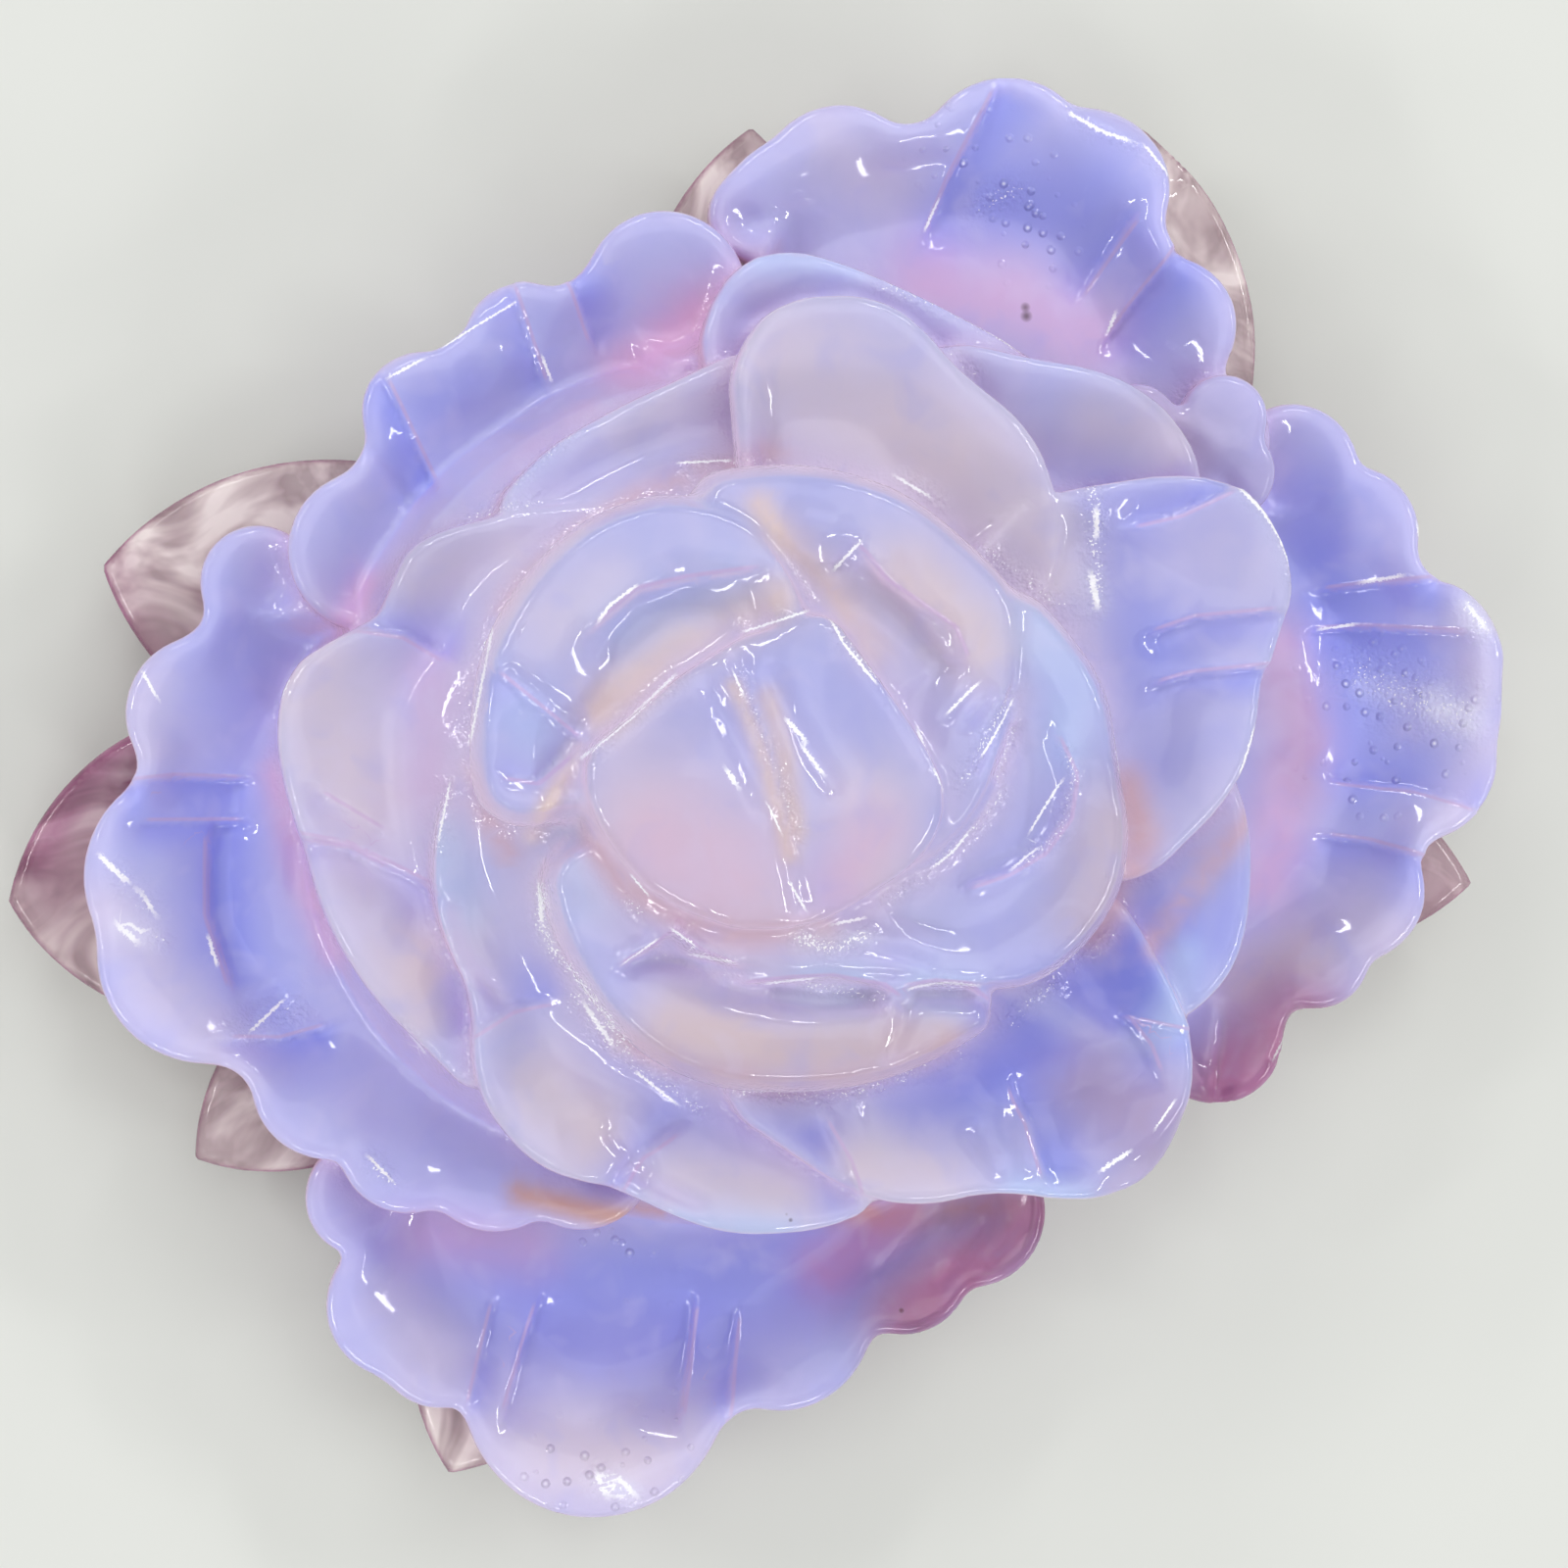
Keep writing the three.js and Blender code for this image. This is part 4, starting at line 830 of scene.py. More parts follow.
        (1.0, 4, ON_LOW, [(1225, 1135), (1270, 1095), (1320, 1045)]),
        (1.0, 3.5, ON_LOW, [(930, 1345), (1000, 1290), (1060, 1245)]),
        (0.6, 3, ON_LOW, [(850, 1300), (930, 1250)]),
    ],
    "clear_end": [
        (1.0, 5, ON_LOW, [(1215, 1150), (1270, 1095), (1320, 1050)]),
        (1.0, 5, ON_LOW, [(930, 1345), (1000, 1290), (1060, 1245)]),
    ],
}


# Painted highlights, thin lines of reflected light along edges and creases: half width in millimetres,
# height and pixels.
PAINTED_HIGHLIGHTS = [
    (0.15, ON_BUD, [(600, 770), (650, 728), (690, 690)]),
    (0.12, ON_INNER, [(763, 643), (800, 632), (820, 625)]),
    (0.15, ON_BUD, [(852, 633), (862, 655), (893, 693)]),
    (0.19, ON_BUD, [(947, 747), (952, 768)]),
    (0.14, ON_BUD, [(957, 788), (965, 802)]),
    (0.21, ON_BUD, [(742, 788), (750, 800)]),
    (0.2, ON_BUD, [(805, 737), (820, 753)]),
    (0.2, ON_BUD, [(821, 765), (838, 787)]),
    (0.11, ON_BUD, [(752, 690), (758, 705)]),
    (0.09, ON_BUD, [(785, 825), (795, 845)]),
    (0.09, ON_BUD, [(650, 898), (662, 912)]),
    (0.11, ON_BUD, [(810, 905), (822, 925)]),
    (0.11, ON_INNER, [(688, 950), (705, 962)]),
    (0.15, ON_INNER, [(712, 976), (745, 982)]),
    (0.15, ON_INNER, [(612, 632), (622, 618), (645, 601)]),
    (0.14, ON_INNER, [(960, 882), (978, 868), (990, 852)]),
    (0.14, ON_INNER, [(970, 725), (995, 700)]),
    (0.11, ON_INNER, [(1004, 768), (1034, 718)]),
    (0.15, ON_INNER, [(858, 942), (880, 938)]),
    (0.11, ON_INNER, [(1060, 845), (1085, 800)]),
    (0.11, ON_INNER, [(1040, 885), (1062, 868)]),
    (0.15, ON_INNER, [(875, 556), (856, 577)]),
    (0.14, ON_INNER, [(790, 1005), (830, 1000)]),
    (0.15, ON_INNER, [(935, 1010), (965, 1003), (995, 1006)]),
    (0.11, ON_INNER, [(640, 982), (668, 962)]),
    (0.12, ON_THIRD, [(500, 650), (490, 700), (480, 752)]),
    (0.22, ON_INNER, [(1149, 742), (1152, 785)]),
    (0.3, ON_THIRD, [(1117, 522), (1119, 545)]),
    (0.38, ON_THIRD, [(1115, 590), (1120, 617)]),
    (0.12, ON_THIRD, [(700, 468), (745, 466)]),
    (0.15, ON_THIRD, [(920, 490), (945, 505)]),
    (0.26, ON_THIRD, [(1264, 503), (1286, 524), (1303, 550), (1311, 572)]),
    (0.15, ON_THIRD, [(1262, 785), (1274, 748)]),
    (0.19, ON_THIRD, [(1128, 1193), (1150, 1178)]),
    (0.11, ON_THIRD, [(1182, 1148), (1196, 1128)]),
    (0.22, ON_THIRD, [(550, 905), (552, 935)]),
    (0.22, ON_THIRD, [(600, 1030), (622, 1062)]),
    (0.15, ON_THIRD, [(655, 1100), (690, 1128)]),
    (0.11, ON_THIRD, [(458, 805), (449, 850)]),
    (0.15, ON_SECOND, [(410, 1052), (432, 1080)]),
    (0.11, ON_SECOND, [(288, 712), (300, 682), (318, 660)]),
    (0.11, ON_SECOND, [(795, 314), (820, 303)]),
    (0.15, ON_SECOND, [(985, 318), (1040, 352)]),
    (0.11, ON_SECOND, [(1183, 408), (1200, 424)]),
    (0.26, ON_LOW, [(1490, 622), (1504, 640)]),
    (0.19, ON_LOW, [(1395, 593), (1422, 589)]),
    (0.19, ON_LOW, [(1440, 540), (1446, 562)]),
    (0.15, ON_LOW, [(1360, 640), (1388, 636)]),
    (0.19, ON_LOW, [(1085, 127), (1112, 142), (1140, 152)]),
    (0.15, ON_LOW, [(1160, 160), (1180, 184)]),
    (0.15, ON_LOW, [(948, 228), (958, 205)]),
    (0.19, ON_LOW, [(1133, 335), (1138, 322)]),
    (0.15, ON_LOW, [(553, 372), (560, 388)]),
    (0.15, ON_LOW, [(400, 392), (428, 377)]),
    (0.11, ON_LOW, [(455, 360), (520, 320)]),
    (0.26, ON_LOW, [(108, 875), (130, 897)]),
    (0.3, ON_LOW, [(126, 945), (140, 958)]),
    (0.22, ON_LOW, [(147, 912), (157, 928)]),
    (0.19, ON_LOW, [(213, 960), (220, 982)]),
    (0.15, ON_LOW, [(150, 690), (160, 708)]),
    (0.15, ON_LOW, [(260, 1048), (285, 1025)]),
    (0.26, ON_LOW, [(610, 1506), (616, 1520)]),
    (0.3, ON_LOW, [(632, 1508), (645, 1520)]),
    (0.15, ON_LOW, [(380, 1178), (398, 1195)]),
    (0.15, ON_LOW, [(1300, 1078), (1312, 1058)]),
]
MARK_WIDTHS, MARK_REACH, MARK_EASE, MARK_END = 12, 1.3, 0.5, 0.6
STROKE_REACH, STROKE_EASE = 8, 3
OTHER_HEIGHT = 1000


def near_lines(lines, x, y, z):
    """How far the nearest line is, in its half widths and with the side it is on, and 1 where it is near.

    The side is kept far from the line too, so that the number only goes through zero on the line itself.
    """
    nearest = np.full_like(x, np.inf)
    widths_off = np.full_like(x, MARK_WIDTHS)
    closeness = np.zeros_like(x)
    for half_width, height, pixels in lines:
        points = [seen_at(pixel, height) for pixel in pixels]
        away, to_right = beside_line(x, y, points)
        at_height = eased((STROKE_REACH - np.abs(z - height)) / STROKE_EASE)
        distance = away + OTHER_HEIGHT * (at_height == 0)
        past_end = np.sqrt(np.maximum(away ** 2 - to_right ** 2, 0))
        close = eased((MARK_REACH - away) / MARK_EASE) * eased(1 - past_end / MARK_END) * at_height
        here = distance < nearest
        widths_off = np.where(here, np.clip(to_right / half_width, -MARK_WIDTHS, MARK_WIDTHS), widths_off)
        closeness = np.where(here, close, closeness)
        nearest = np.where(here, distance, nearest)
    return widths_off, closeness


def clouded(tint, x, y, z):
    """How much of a tint there is at some points, from its strokes near their height."""
    amount = np.zeros_like(x)
    for strength, half_width, height, pixels in CLOUDS[tint]:
        points = [seen_at(pixel, height) for pixel in pixels]
        near_height = eased((STROKE_REACH - np.abs(z - height)) / STROKE_EASE)
        amount = np.maximum(amount, strength * stroke(x, y, points, half_width) * near_height)
    return amount


print({tint: len(strokes) for tint, strokes in CLOUDS.items()}, "and", len(PAINTED_HIGHLIGHTS), "bright edges")

# %% [markdown]
# ## The tints at every corner
# Light comes into a carved stone from all sides and leaves it pale at thin edges and warm in the creases.
# That light is painted here: the pale edges and the glow at the petals' feet are tints worked out from
# how far a corner is from each petal's outline, and the side walls are painted by which way they face.
# A share of height is kept too, for the painted shade of the upper stone. Thin lines, the painted
# highlights among them, are kept in another way: the mesh is coarser than they are, so each corner keeps
# how far it is from the nearest line and on which side, and the finish draws the line where that number
# goes through zero.

# %% The tints at every corner of the mesh
# Painted glow at the petals' feet, and painted light at their thin edges.
GLOW_WIDTH = 1.8
GLOW_STARTS, GLOW_FULL = 0.8, 2.6
# Painted glints, with their grain relief, along each petal's foot.
GLINT_AND_GRAIN_WIDTH, FOOT_GLINTS_AND_GRAIN = 0.6, 0.55
PALE_WIDTH = 1.5
FACET_HEIGHT_SPREAD = 5
WIDEST_STEP = 0.8
RIDGE_WIDTH = 0.22
INNER_BLUE = 0.3
LEAF_BLEND = 1.8
SEEN_FROM_ABOVE = 0.35
CLEAR_BELOW, CLEAR_END = 18, 0.6
# Heights where the painted shade of the upper stone starts and is full.
HIGH_FROM, HIGH_FULL = 20, 28
# Which faces count as side walls, for their painted glow and painted light.
WALL_FROM, WALL_SPREAD = 0.7, 0.6
LEAF_EDGE_FROM, LEAF_EDGE_SPREAD, LEAF_SIDE_FADE = 0.9, 0.5, 0.6

x, y, z = corners_of(flower_mesh).T
normals = np.empty(len(flower_mesh.vertices) * 3)
flower_mesh.vertices.foreach_get("normal", normals)
facing_up = normals.reshape(-1, 3)[:, 2]
tints = {tint: clouded(tint, x, y, z) for tint in CLOUDS}
for tint in ("foot_glow", "high_foot", "low_edge", "high_edge", "bevel"):
    tints[tint] = np.zeros_like(x)
for name, petal in PETALS.items():
    outline, _, lift = petal_outline(petal, x, y)
    under_rim = petal["rim"] + lift - z
    under = eased((under_rim - GLOW_STARTS) / (GLOW_FULL - GLOW_STARTS))
    # painted glow beside each petal's foot
    glow = np.exp(-np.abs(outline) / GLOW_WIDTH) * under
    foot = "high_foot" if name.startswith("inner") else "foot_glow"
    tints[foot] = np.maximum(tints[foot], glow)
    # painted glints and grain at each petal's foot
    foot_glints_and_grain = FOOT_GLINTS_AND_GRAIN * np.exp(-np.abs(outline) / GLINT_AND_GRAIN_WIDTH) * under
    tints["glints_and_grain"] = np.maximum(tints["glints_and_grain"], foot_glints_and_grain)
    # painted light at each petal's thin edge
    edge = np.exp(-((outline / PALE_WIDTH) ** 2)) * eased(1 - np.abs(under_rim) / GLOW_FULL)
    height = "low_edge" if name.startswith("low") else "high_edge"
    tints[height] = np.maximum(tints[height], edge * petal.get("paleness", 1))
bearing, distance = polar(x, y)
# painted glow round the bud's foot
bud_glow = np.exp(-np.abs(distance - bud_radius(bearing)) / GLOW_WIDTH)
bud_glow = bud_glow * eased((BUD_EDGE_HEIGHT - z - GLOW_STARTS) / (GLOW_FULL - GLOW_STARTS))
tints["high_foot"] = np.maximum(tints["high_foot"], bud_glow * (z > BUD_FOOT_HEIGHT))
for _, rise, fade, height, pixels in FACETS:
    points = [seen_at(pixel, height) for pixel in pixels]
    inside = facet(x, y, points, rise, fade) * (np.abs(z - height) < FACET_HEIGHT_SPREAD)
    if rise > WIDEST_STEP:
        tints["bevel"] = np.maximum(tints["bevel"], inside)
    else:
        tints["blue"] = np.maximum(tints["blue"], inside * (INNER_BLUE if height >= ON_INNER else 1))
ridges = [(RIDGE_WIDTH, height, pixels) for _, rise, _, height, pixels in FACETS if rise <= WIDEST_STEP]
tints["ridge_side"], tints["ridge_near"] = near_lines(ridges, x, y, z)
tints["highlight_side"], tints["highlight_near"] = near_lines(PAINTED_HIGHLIGHTS, x, y, z)
# Painted highlights, painted glare, ridge lines and bubbles show only on faces that look up.
for tint in ("highlight_near", "ridge_near", "glare_patch", "bubbles"):
    tints[tint] = tints[tint] * eased(facing_up / SEEN_FROM_ABOVE)
leaf_forms = np.stack([leaf_form(leaf, x, y, z) for leaf in LEAVES.values()]).min(axis=0)
petal_forms = np.stack([petal_form(petal, x, y, z) for petal in PETALS.values()]).min(axis=0)
other_forms = np.minimum(petal_forms, heart_form(x, y, z))
leafy = eased(0.5 + (other_forms - leaf_forms) / LEAF_BLEND)
# Side walls are painted: a warm glow of light through them low down, and high up a pale painted light that
# lifts the shade of the narrow creases.
wall = eased((WALL_FROM - facing_up) / WALL_SPREAD) * (z > LEAF_SHOULDER)
tints["high"] = eased((z - HIGH_FROM) / (HIGH_FULL - HIGH_FROM))
tints["wall"] = wall * (1 - tints["high"])
tints["high_wall"] = wall * tints["high"]
tints["leafy"] = leafy
tints["leaf_edge"] = leafy * eased((LEAF_EDGE_FROM - facing_up) / LEAF_EDGE_SPREAD)
tints["leaf_edge"] = tints["leaf_edge"] * (1 - LEAF_SIDE_FADE * eased(1 - facing_up / LEAF_EDGE_SPREAD))
tints["clear_end"] = CLEAR_END * tints["clear_end"] * (z < CLEAR_BELOW)
for tint, amount in tints.items():
    layer = flower_mesh.attributes.new(tint, "FLOAT", "POINT")
    layer.data.foreach_set("value", amount.astype(np.float32))
print("tints:", {tint: round(float(amount.mean()), 3) for tint, amount in tints.items()})

# %% [markdown]
# ## Nodes written as sums
# A finish with many tints is hard to read as a picture of nodes. Here a socket can be added, multiplied
# and subtracted in Python, and each operation adds its Math node. Everything else goes through one method
# that makes a node, sets it up and fills its sockets.

# %% A socket to calculate with, and a finish to build
class Socket:
    """A node's output that takes part in plain sums."""

    def __init__(self, finish, output):
        self.finish = finish
        self.output = output

    def worked(self, operation, first, second):
        return self.finish.node("ShaderNodeMath", {"operation": operation}, [first, second])

    def __add__(self, other):
        return self.worked("ADD", self, other)

    def __radd__(self, other):
        return self.worked("ADD", other, self)

    def __sub__(self, other):
        return self.worked("SUBTRACT", self, other)

    def __rsub__(self, other):
        return self.worked("SUBTRACT", other, self)

    def __mul__(self, other):
        return self.worked("MULTIPLY", self, other)

    def __rmul__(self, other):
        return self.worked("MULTIPLY", other, self)

    def __abs__(self):
        return self.finish.node("ShaderNodeMath", {"operation": "ABSOLUTE"}, [self])


class Finish:
    """A material that is put together node by node."""

    def __init__(self, name):
        self.material = bpy.data.materials.new(name)
        self.material.use_nodes = True
        self.tree = self.material.node_tree
        self.tree.nodes.clear()
        self.result = self.tree.nodes.new("ShaderNodeOutputMaterial")

    def node(self, kind, settings, sockets, output=0):
        """A node with its settings made first, then its sockets filled with values or linked."""
        node = self.tree.nodes.new(kind)
        for name, value in settings.items():
            setattr(node, name, value)
        filled = sockets.items() if isinstance(sockets, dict) else enumerate(sockets)
        for key, value in filled:
            if isinstance(value, Socket):
                self.tree.links.new(value.output, node.inputs[key])
            else:
                node.inputs[key].default_value = value
        return Socket(self, node.outputs[output])

    def number(self, name):
        """A number kept at the corners of the mesh."""
        return self.node("ShaderNodeAttribute", {"attribute_name": name}, {}, "Fac")

    def mixed(self, share, first, second):
        """Two colours mixed by a share."""
        return self.node("ShaderNodeMix", {"data_type": "RGBA"}, {0: share, 6: first, 7: second}, 2)

    def clamped(self, amount):
        """An amount kept from 0 to 1."""
        return self.node("ShaderNodeClamp", {}, {"Value": amount, "Min": 0, "Max": 1})

    def shown(self, shader):
        """Makes a shader the material's surface."""
        self.tree.links.new(shader.output, self.result.inputs["Surface"])
        return self.material


SCREEN_WHITE, DARK_LIMIT, DARK_SLOPE, SCREEN_OFFSET, SCREEN_POWER = 255, 0.04045, 12.92, 0.055, 2.4


def light_of(level):
    """How much light a level of a screen's colour stands for, by the curve that screens use."""
    share = level / SCREEN_WHITE
    if share <= DARK_LIMIT:
        return share / DARK_SLOPE
    return ((share + SCREEN_OFFSET) / (1 + SCREEN_OFFSET)) ** SCREEN_POWER


def paint(red, green, blue):
    """A colour as it looks on a screen, from 0 to 255, as the light values that a shader takes."""
    return (light_of(red), light_of(green), light_of(blue), 1)


print("a glint's colour as light:", [round(side, 3) for side in paint(250, 250, 255)])

# %% [markdown]
# ## The stone's colour
# The body is milky lavender, and each tint lays one colour over it, as much as its number at a corner
# says. Two kinds of soft noise keep the colour from being even: wide clouds that make the tints stronger
# or weaker, and flakes that are a little paler or deeper. A few dark specks are placed one by one.

# %% Tints, flakes and specks
BODY, BODY_LIGHT = paint(176, 182, 236), paint(190, 186, 234)
TINT_COLOURS = [
    ("blue", 1.0, paint(150, 158, 238)),
    ("deep", 1.0, paint(126, 134, 228)),
    # Painted light at the petals' thin edges.
    ("low_edge", 0.35, paint(196, 188, 230)),
    ("high_edge", 0.5, paint(200, 204, 242)),
    ("milk", 0.85, paint(224, 208, 218)),
    ("rose", 1.0, paint(222, 174, 214)),
    # Painted glow of light through the stone.
    ("amber", 0.9, paint(230, 202, 186)),
    ("sky", 0.9, paint(186, 206, 248)),
    # Painted glow at the petals' feet, in the creases and gaps and on the low side walls; high on the
    # walls, painted light that lifts their shade.
    ("foot_glow", 0.45, paint(208, 174, 210)),
    ("high_foot", 0.75, paint(228, 210, 238)),
    ("crease", 0.8, paint(216, 178, 192)),
    ("ember", 1.0, paint(204, 158, 142)),
    ("wall", 0.7, paint(216, 178, 196)),
    ("high_wall", 0.85, paint(240, 218, 240)),
    ("blush", 1.0, paint(200, 134, 180)),
    ("bevel", 0.6, paint(206, 194, 230)),
    ("mauve", 1.0, paint(150, 134, 168)),
    # Painted glare, white reflected light.
    ("glare_patch", 0.8, paint(232, 232, 252)),
]
CLOUD_SCALE, LEAST_TINT, TINT_SPREAD = 90, 0.6, 0.8
FLAKE_SCALE, FLAKE_SHARPNESS, FLAKE_SHARE = 230, 5, 0.22
PALE_ABOVE, DEEP_BELOW = 0.54, 0.46
FLAKE_PALE, FLAKE_DEEP = paint(214, 206, 240), paint(160, 164, 234)
FLAKE_TWIST = 0.4
# Dark specks in the stone: size in millimetres, height and pixel of the photograph.
SPECKS = [(0.4, 12.5, (1047, 313)), (0.46, 12.5, (1048, 322)), (0.2, 12.5, (1059, 309)),
          (0.18, 22, (521, 1208)),
          (0.18, 27, (803, 1239)), (0.18, 27, (807, 1245)), (0.15, 24, (362, 965)), (0.2, 13, (920, 1337))]
SPECK_SOFTNESS, SPECK_COLOUR = 0.4, paint(70, 44, 40)


def tinted(stone, cloudy):
    """The body's colour with every tint laid over it, and flakes of paler and deeper colour."""
    colour = stone.mixed(cloudy, BODY, BODY_LIGHT)
    for tint, strength, tint_colour in TINT_COLOURS:
        amount = stone.number(tint) * (LEAST_TINT + TINT_SPREAD * cloudy) * strength
        colour = stone.mixed(amount, colour, tint_colour)
    return colour


def flaked(stone, spot, colour):
    """A colour broken up by soft paler and deeper flakes, as in milky stone."""
    flakes = stone.node("ShaderNodeTexNoise", {}, {
        "Vector": spot, "Scale": FLAKE_SCALE, "Detail": 2, "Distortion": FLAKE_TWIST})
    pale = stone.clamped((flakes - PALE_ABOVE) * FLAKE_SHARPNESS) * FLAKE_SHARE
    deep = stone.clamped((DEEP_BELOW - flakes) * FLAKE_SHARPNESS) * FLAKE_SHARE
    return stone.mixed(deep, stone.mixed(pale, colour, FLAKE_PALE), FLAKE_DEEP)


def speckled(stone, spot, colour):
    """A colour with the few dark specks of the stone."""
    for size, height, pixel in SPECKS:
        middle = (*[side * MILLIMETRE for side in seen_at(pixel, height)], height * MILLIMETRE)
        away = stone.node("ShaderNodeVectorMath", {"operation": "DISTANCE"}, [spot, middle], "Value")
        speck = stone.clamped(1 + SPECK_SOFTNESS - away * (1 / (size * MILLIMETRE)))
        colour = stone.mixed(speck, colour, SPECK_COLOUR)
    return colour


print(len(TINT_COLOURS), "tints and", len(SPECKS), "specks")

# %% [markdown]
# ## Milky and clear stone
# Polished opal is milky but lets light in, so most of it is one glossy shader that scatters light under
# its surface. The pointed leaves and two thin petal ends are clear, so a glassy shader is mixed in there.
# One shader with its transmission turned up in places would do too, but a mix costs less: where the share
# is 0 or 1, the other shader isn't worked out at all.

# %% Two shaders for one stone
GLOSS, CLEAR_GLOSS, MILKY_IOR, CLEAR_IOR = 0.07, 0.05, 1.5, 1.46
GLOW_SHARE, GLOW_DEPTH, GLOW_SPREAD = 0.5, 0.0028, (1.0, 0.8, 1.0)
RELIEF_HEIGHT = 0.0003


def mix_of(stone, share, first, second):
    """Two shaders mixed by a share. Where it is 0 or 1, the other one costs nothing."""
    return stone.node("ShaderNodeMixShader", {}, {0: share, 1: first, 2: second})


def milky_stone(stone, colour, height):
    """Polished stone that lets light in a little way, with a fine relief."""
    relief = stone.node("ShaderNodeBump", {}, {"Height": height, "Distance": RELIEF_HEIGHT, "Strength": 1})
    return stone.node("ShaderNodeBsdfPrincipled", {"subsurface_method": "BURLEY"}, {
        "Base Color": colour, "Roughness": GLOSS, "IOR": MILKY_IOR, "Subsurface Weight": GLOW_SHARE,
        "Subsurface Radius": GLOW_SPREAD, "Subsurface Scale": GLOW_DEPTH, "Normal": relief})


def clear_stone(stone, colour):
    """Polished stone that is clear as glass."""
    return stone.node("ShaderNodeBsdfPrincipled", {}, {
        "Base Color": colour, "Roughness": CLEAR_GLOSS, "IOR": CLEAR_IOR, "Transmission Weight": 1})


print("light goes about", GLOW_DEPTH / MILLIMETRE, "mm into the milky stone")

# %% [markdown]
# ## The flower's stone
# Fine noise paints white glints along the creases, and thin white lines are painted along the ridges and
# edges: these are painted highlights, laid over a fine grain relief. The stone is also painted a little
# darker the higher it is, as painted shade. Small bubbles lie under the surface in a few places, each
# with a painted highlight in its middle. They need a finer relief, so they have a branch of their own,
# which is only worked out where there are bubbles.

# %% The flower's stone
RIDGE_SHARPNESS, RIDGE_SHARE, RIDGE_COLOUR = 1.5, 0.55, paint(196, 168, 208)
# Painted shade: how much darker the top of the stone is made.
UPPER_SHADE = 0.13
CLEAREST, CLEAR_SPREAD, CLEAR_LEAF = 1.4, 1.1, 0.5
CLEAR_STONE, CLEAR_EDGE, CLEAR_BLUSH = paint(255, 250, 250), paint(190, 116, 156), paint(238, 182, 210)
GRAIN_SCALE = 2600
WAVE_SCALE, WAVE_SHARE = 260, 0.5
GLINT_COLOUR = paint(250, 250, 255)
GLINT_SCALE, GLINT_FROM, GLINT_SPREAD, GLINT_SHARPNESS = 4600, 0.98, 0.5, 10
HIGHLIGHT_SHARPNESS, HIGHLIGHT_RAGGED = 2, 2.2
BUBBLE_SCALE, BUBBLE_SIZE, BUBBLE_SHINE, BUBBLE_SHARPNESS = 640, 0.27, 0.13, 8
BUBBLES_SWITCH = 20
CLOUD_ROUGHNESS, NOISE_MIDDLE = 0.55, 0.5


def flower_stone(stone, spot):
    """The flower's stone with all its tints, among them painted glow, shade and highlights, and clear at
    two thin ends.
    """
    cloudy = stone.node("ShaderNodeTexNoise", {}, {
        "Vector": spot, "Scale": CLOUD_SCALE, "Detail": 2, "Roughness": CLOUD_ROUGHNESS})
    glints = stone.node("ShaderNodeTexNoise", {}, {"Vector": spot, "Scale": GLINT_SCALE, "Detail": 1})
    grain = stone.node("ShaderNodeTexNoise", {}, {"Vector": spot, "Scale": GRAIN_SCALE, "Detail": 1})
    waves = stone.node("ShaderNodeTexNoise", {}, {"Vector": spot, "Scale": WAVE_SCALE, "Detail": 0})
    bubbles = stone.node("ShaderNodeTexVoronoi", {}, {"Vector": spot, "Scale": BUBBLE_SCALE}, "Distance")

    colour = flaked(stone, spot, tinted(stone, cloudy))
    # Painted shade: the colour is darker the higher the stone is, so the upper petals, which get more
    # light, look no brighter than the low ones.
    colour = stone.node("ShaderNodeVectorMath", {"operation": "SCALE"}, {
        0: colour, "Scale": 1 - UPPER_SHADE * stone.number("high")})
    ridge = stone.clamped((1 - abs(stone.number("ridge_side"))) * RIDGE_SHARPNESS)
    colour = stone.mixed(ridge * stone.number("ridge_near") * RIDGE_SHARE, colour, RIDGE_COLOUR)
    colour = speckled(stone, spot, colour)
    # Painted glints: white specks where the noise is high enough.
    glint = stone.clamped((glints - GLINT_FROM + GLINT_SPREAD * stone.number("glints_and_grain")) * GLINT_SHARPNESS)
    # Painted highlights: white lines along the listed edges, ragged at their sides.
    ragged = 1 - abs(stone.number("highlight_side")) + HIGHLIGHT_RAGGED * (glints - NOISE_MIDDLE)
    bright = stone.clamped(ragged * HIGHLIGHT_SHARPNESS) * stone.number("highlight_near")
    colour = stone.mixed(stone.clamped(glint + bright), colour, GLINT_COLOUR)
    height = grain * stone.number("glints_and_grain") + waves * WAVE_SHARE
    even = milky_stone(stone, colour, height)

    # A painted highlight, a white dot in the middle of each bubble; the dents round them are relief.
    shine = stone.clamped((BUBBLE_SHINE - bubbles) * BUBBLE_SHARPNESS) * stone.number("bubbles")
    dots = stone.clamped((BUBBLE_SIZE - bubbles) * BUBBLE_SHARPNESS) * stone.number("bubbles")
    bubbled = milky_stone(stone, stone.mixed(shine, colour, GLINT_COLOUR), height + dots)
    milky = mix_of(stone, stone.clamped(stone.number("bubbles") * BUBBLES_SWITCH), even, bubbled)
    clear = clear_stone(stone, stone.mixed(stone.number("blush"), CLEAR_STONE, CLEAR_BLUSH))
    clearness = stone.clamped(stone.number("clear_end") * (CLEAREST - CLEAR_SPREAD * cloudy))
    return mix_of(stone, clearness, milky, clear)


print("a glint is about", round(1 / (GLINT_SCALE * MILLIMETRE), 2), "mm wide")

# %% [markdown]
# ## The leaves' stone and the whole finish
# The leaves come from a clearer layer of the same stone, with milky streaks and purple edges. They grow
# out of the flower without a seam, so both stones are parts of one finish, and a number at each corner
# says which one it is.

# %% The leaves' stone and the whole finish
STREAK_SCALE, STREAK_FROM, STREAK_SHARPNESS = 95, 0.42, 5
LEAF_PALE, LEAF_DEEP, LEAF_EDGE = paint(244, 232, 230), paint(224, 196, 202), paint(168, 106, 142)
STREAK_TWIST = 1.5


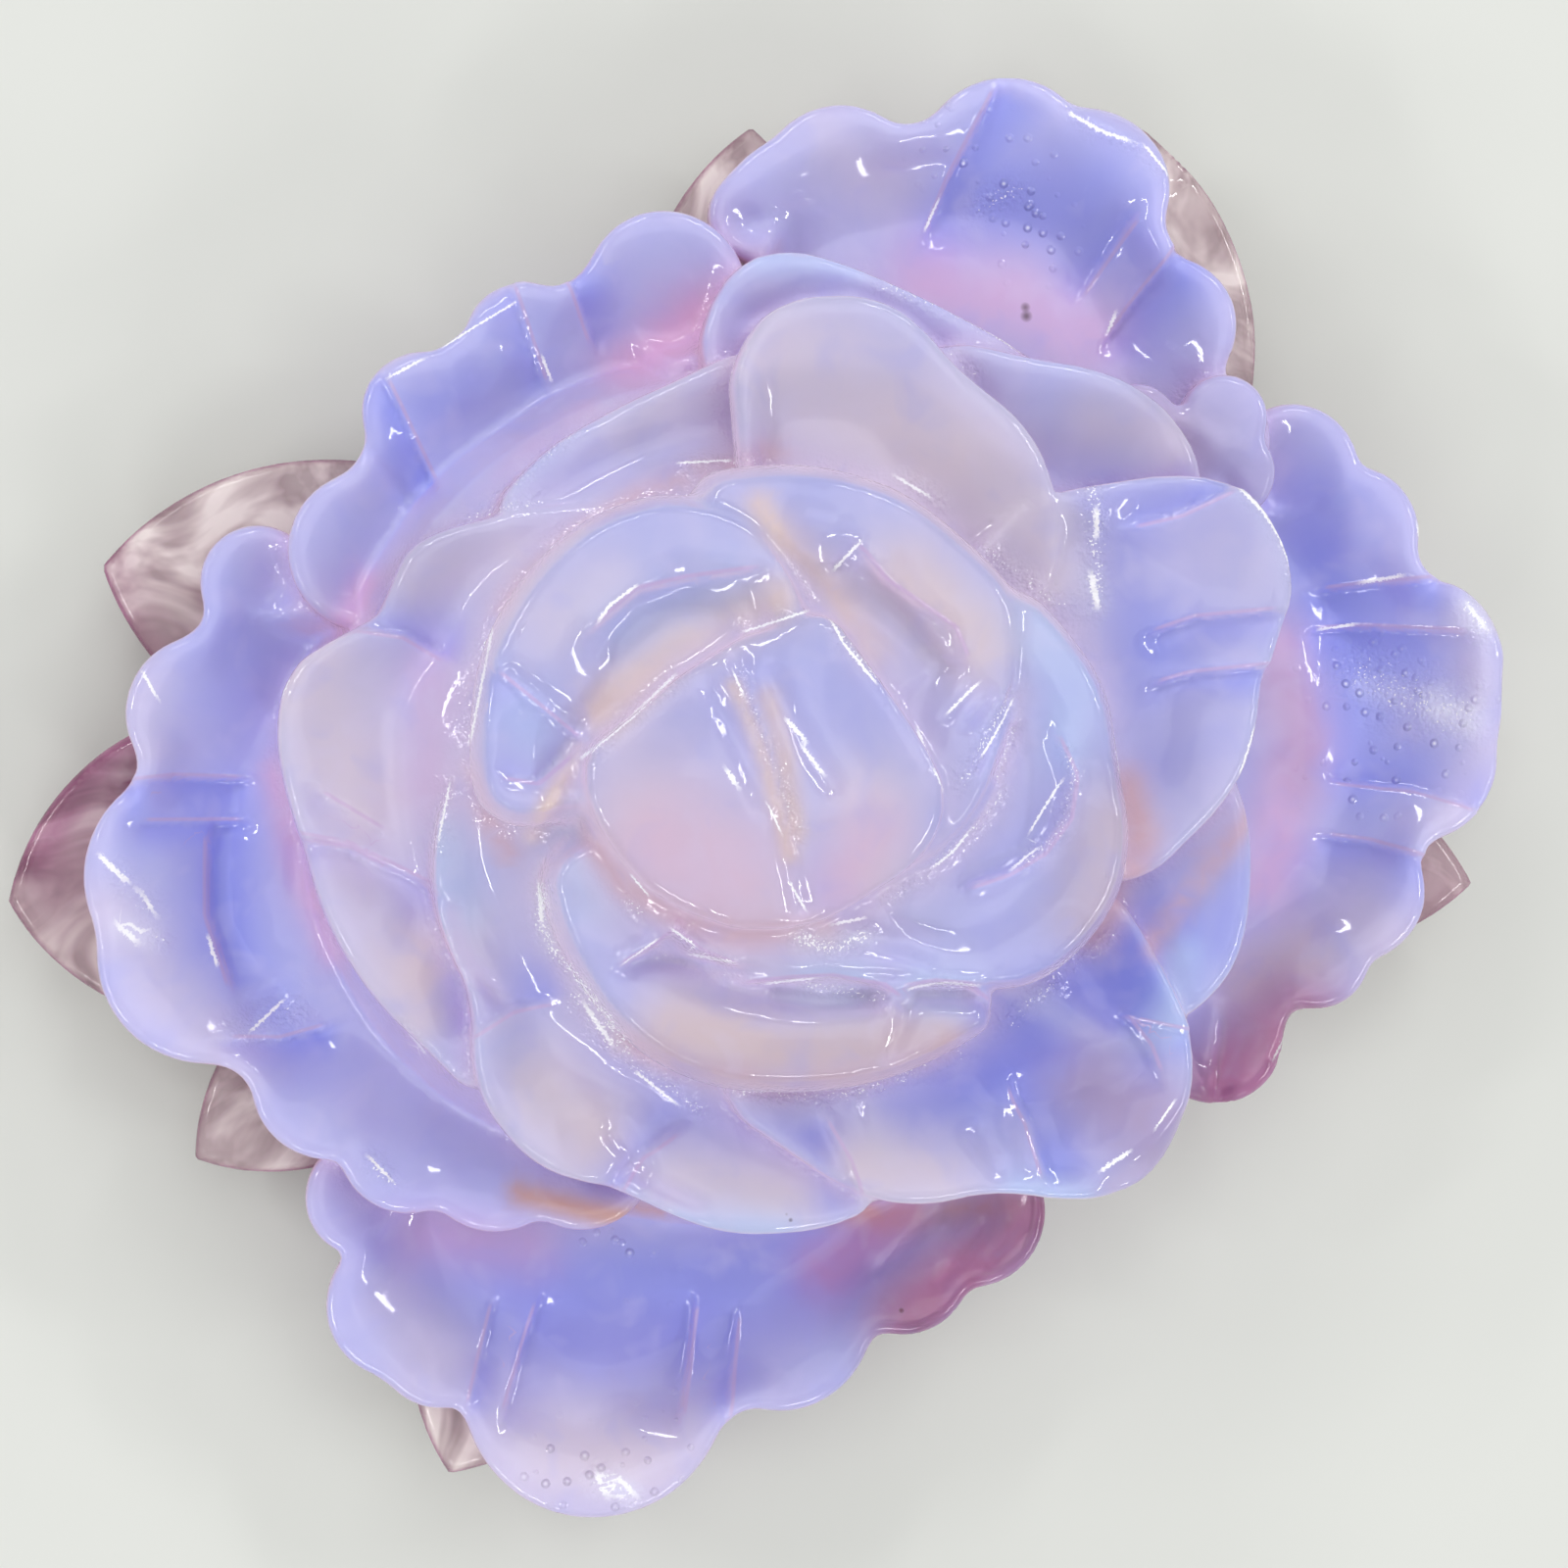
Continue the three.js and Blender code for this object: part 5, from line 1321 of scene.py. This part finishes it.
def leaf_stone(stone, spot):
    """The leaves' stone, which is clear with milky streaks and purple edges."""
    streaks = stone.node("ShaderNodeTexNoise", {}, {
        "Vector": spot, "Scale": STREAK_SCALE, "Detail": 3, "Distortion": STREAK_TWIST})
    waves = stone.node("ShaderNodeTexNoise", {}, {"Vector": spot, "Scale": WAVE_SCALE, "Detail": 0})
    pale_streak = stone.clamped((streaks - STREAK_FROM) * STREAK_SHARPNESS)
    edge = stone.clamped(stone.number("leaf_edge") + stone.number("plum"))
    colour = stone.mixed(edge, stone.mixed(pale_streak, LEAF_DEEP, LEAF_PALE), LEAF_EDGE)
    milky = milky_stone(stone, colour, waves * WAVE_SHARE)
    clear = clear_stone(stone, stone.mixed(edge, CLEAR_STONE, CLEAR_EDGE))
    clearness = stone.clamped(CLEAR_LEAF * (CLEAREST - CLEAR_SPREAD * pale_streak))
    return mix_of(stone, clearness, milky, clear)


def stone_finish():
    """One stone: milky and tinted in the flower, clear in the leaves."""
    stone = Finish("opal")
    spot = stone.node("ShaderNodeTexCoord", {}, {}, "Object")
    flower_part = flower_stone(stone, spot)
    leaf_part = leaf_stone(stone, spot)
    return stone.shown(mix_of(stone, stone.number("leafy"), flower_part, leaf_part))


flower_mesh.materials.clear()
flower_mesh.materials.append(stone_finish())
print("nodes in the finish:", len(flower_mesh.materials[0].node_tree.nodes))

# %% [markdown]
# ## The carving in its place
# The mesh is already in the frame of the solid, so the object needs no move. It takes the place of the
# solid and rides on the one body that the carving has.

# %% The carving as an object of the scene
flower = bpy.data.objects.new("opal_flower", flower_mesh)
bpy.context.scene.collection.objects.link(flower)
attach(flower, "root")
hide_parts("flower_carving")
print(flower.name, "has", len(flower_mesh.polygons), "triangles")

# %% [markdown]
# ## The floor
# The flower stands on a plain pale sheet, which is much wider than the flower, so that no edge of it is
# seen. It isn't a part of the carving, so it is only staged. A rough surface keeps it free of
# reflections.

# %% The floor
FLOOR_HALF = 3
FLOOR_COLOUR, FLOOR_ROUGHNESS = paint(216, 218, 213), 0.9


def floor_finish():
    """A plain pale sheet."""
    pale = Finish("pale_floor")
    return pale.shown(pale.node("ShaderNodeBsdfPrincipled", {}, {
        "Base Color": FLOOR_COLOUR, "Roughness": FLOOR_ROUGHNESS}))


floor_mesh = bpy.data.meshes.new("floor")
floor_mesh.from_pydata([(-FLOOR_HALF, -FLOOR_HALF, 0), (FLOOR_HALF, -FLOOR_HALF, 0),
                        (FLOOR_HALF, FLOOR_HALF, 0), (-FLOOR_HALF, FLOOR_HALF, 0)], [], [(0, 1, 2, 3)])
floor_mesh.materials.append(floor_finish())
floor = bpy.data.objects.new("floor", floor_mesh)
bpy.context.scene.collection.objects.link(floor)
print("the floor is", 2 * FLOOR_HALF, "m wide")

# %% [markdown]
# ## The lights
# Small bright lamps would give hard shadows, which the photograph hasn't, so one wide lamp is above the
# flower and the sky is pale all round. A ring of narrow strips near the horizon gives the short bright
# lines that polished edges show.

# %% The lights
RING_LAMPS = 8
RING_RADIUS, RING_HEIGHT = 0.45, 0.3
STRIP_SIZE, STRIP_POWER = (0.2, 0.03), 0.38
OVERHEAD_SIZE, OVERHEAD_POWER = 0.8, 1.6
SKY_LIGHT = 0.445
RING_TURN = 20
OVERHEAD_SPOT = (0.1, 0.3, 1.0)
AIM_HEIGHT = 0.02


def soft_light(name, spot, width, height, power):
    """A flat lamp at a spot in metres, aimed at the flower, with its width level."""
    lamp = bpy.data.lights.new(name, "AREA")
    lamp.shape = "RECTANGLE"
    lamp.size = width
    lamp.size_y = height
    lamp.energy = power
    holder = bpy.data.objects.new(name, lamp)
    bpy.context.scene.collection.objects.link(holder)
    holder.location = spot
    aim = np.array([0, 0, AIM_HEIGHT]) - np.array(spot)
    holder.rotation_euler = math.atan2(math.hypot(aim[0], aim[1]), -aim[2]), 0, math.atan2(-aim[0], aim[1])
    return holder


soft_light("overhead", OVERHEAD_SPOT, OVERHEAD_SIZE, OVERHEAD_SIZE, OVERHEAD_POWER)
for number in range(RING_LAMPS):
    sideways, ahead = place(360 * number / RING_LAMPS + RING_TURN, RING_RADIUS)
    soft_light(f"ring_{number}", (sideways, ahead, RING_HEIGHT), *STRIP_SIZE, STRIP_POWER)
world = bpy.data.worlds.new("studio")
bpy.context.scene.world = world
world.use_nodes = True
world.node_tree.nodes["Background"].inputs["Color"].default_value = (1, 1, 1, 1)
world.node_tree.nodes["Background"].inputs["Strength"].default_value = SKY_LIGHT
bpy.context.scene.view_settings.view_transform = "Standard"
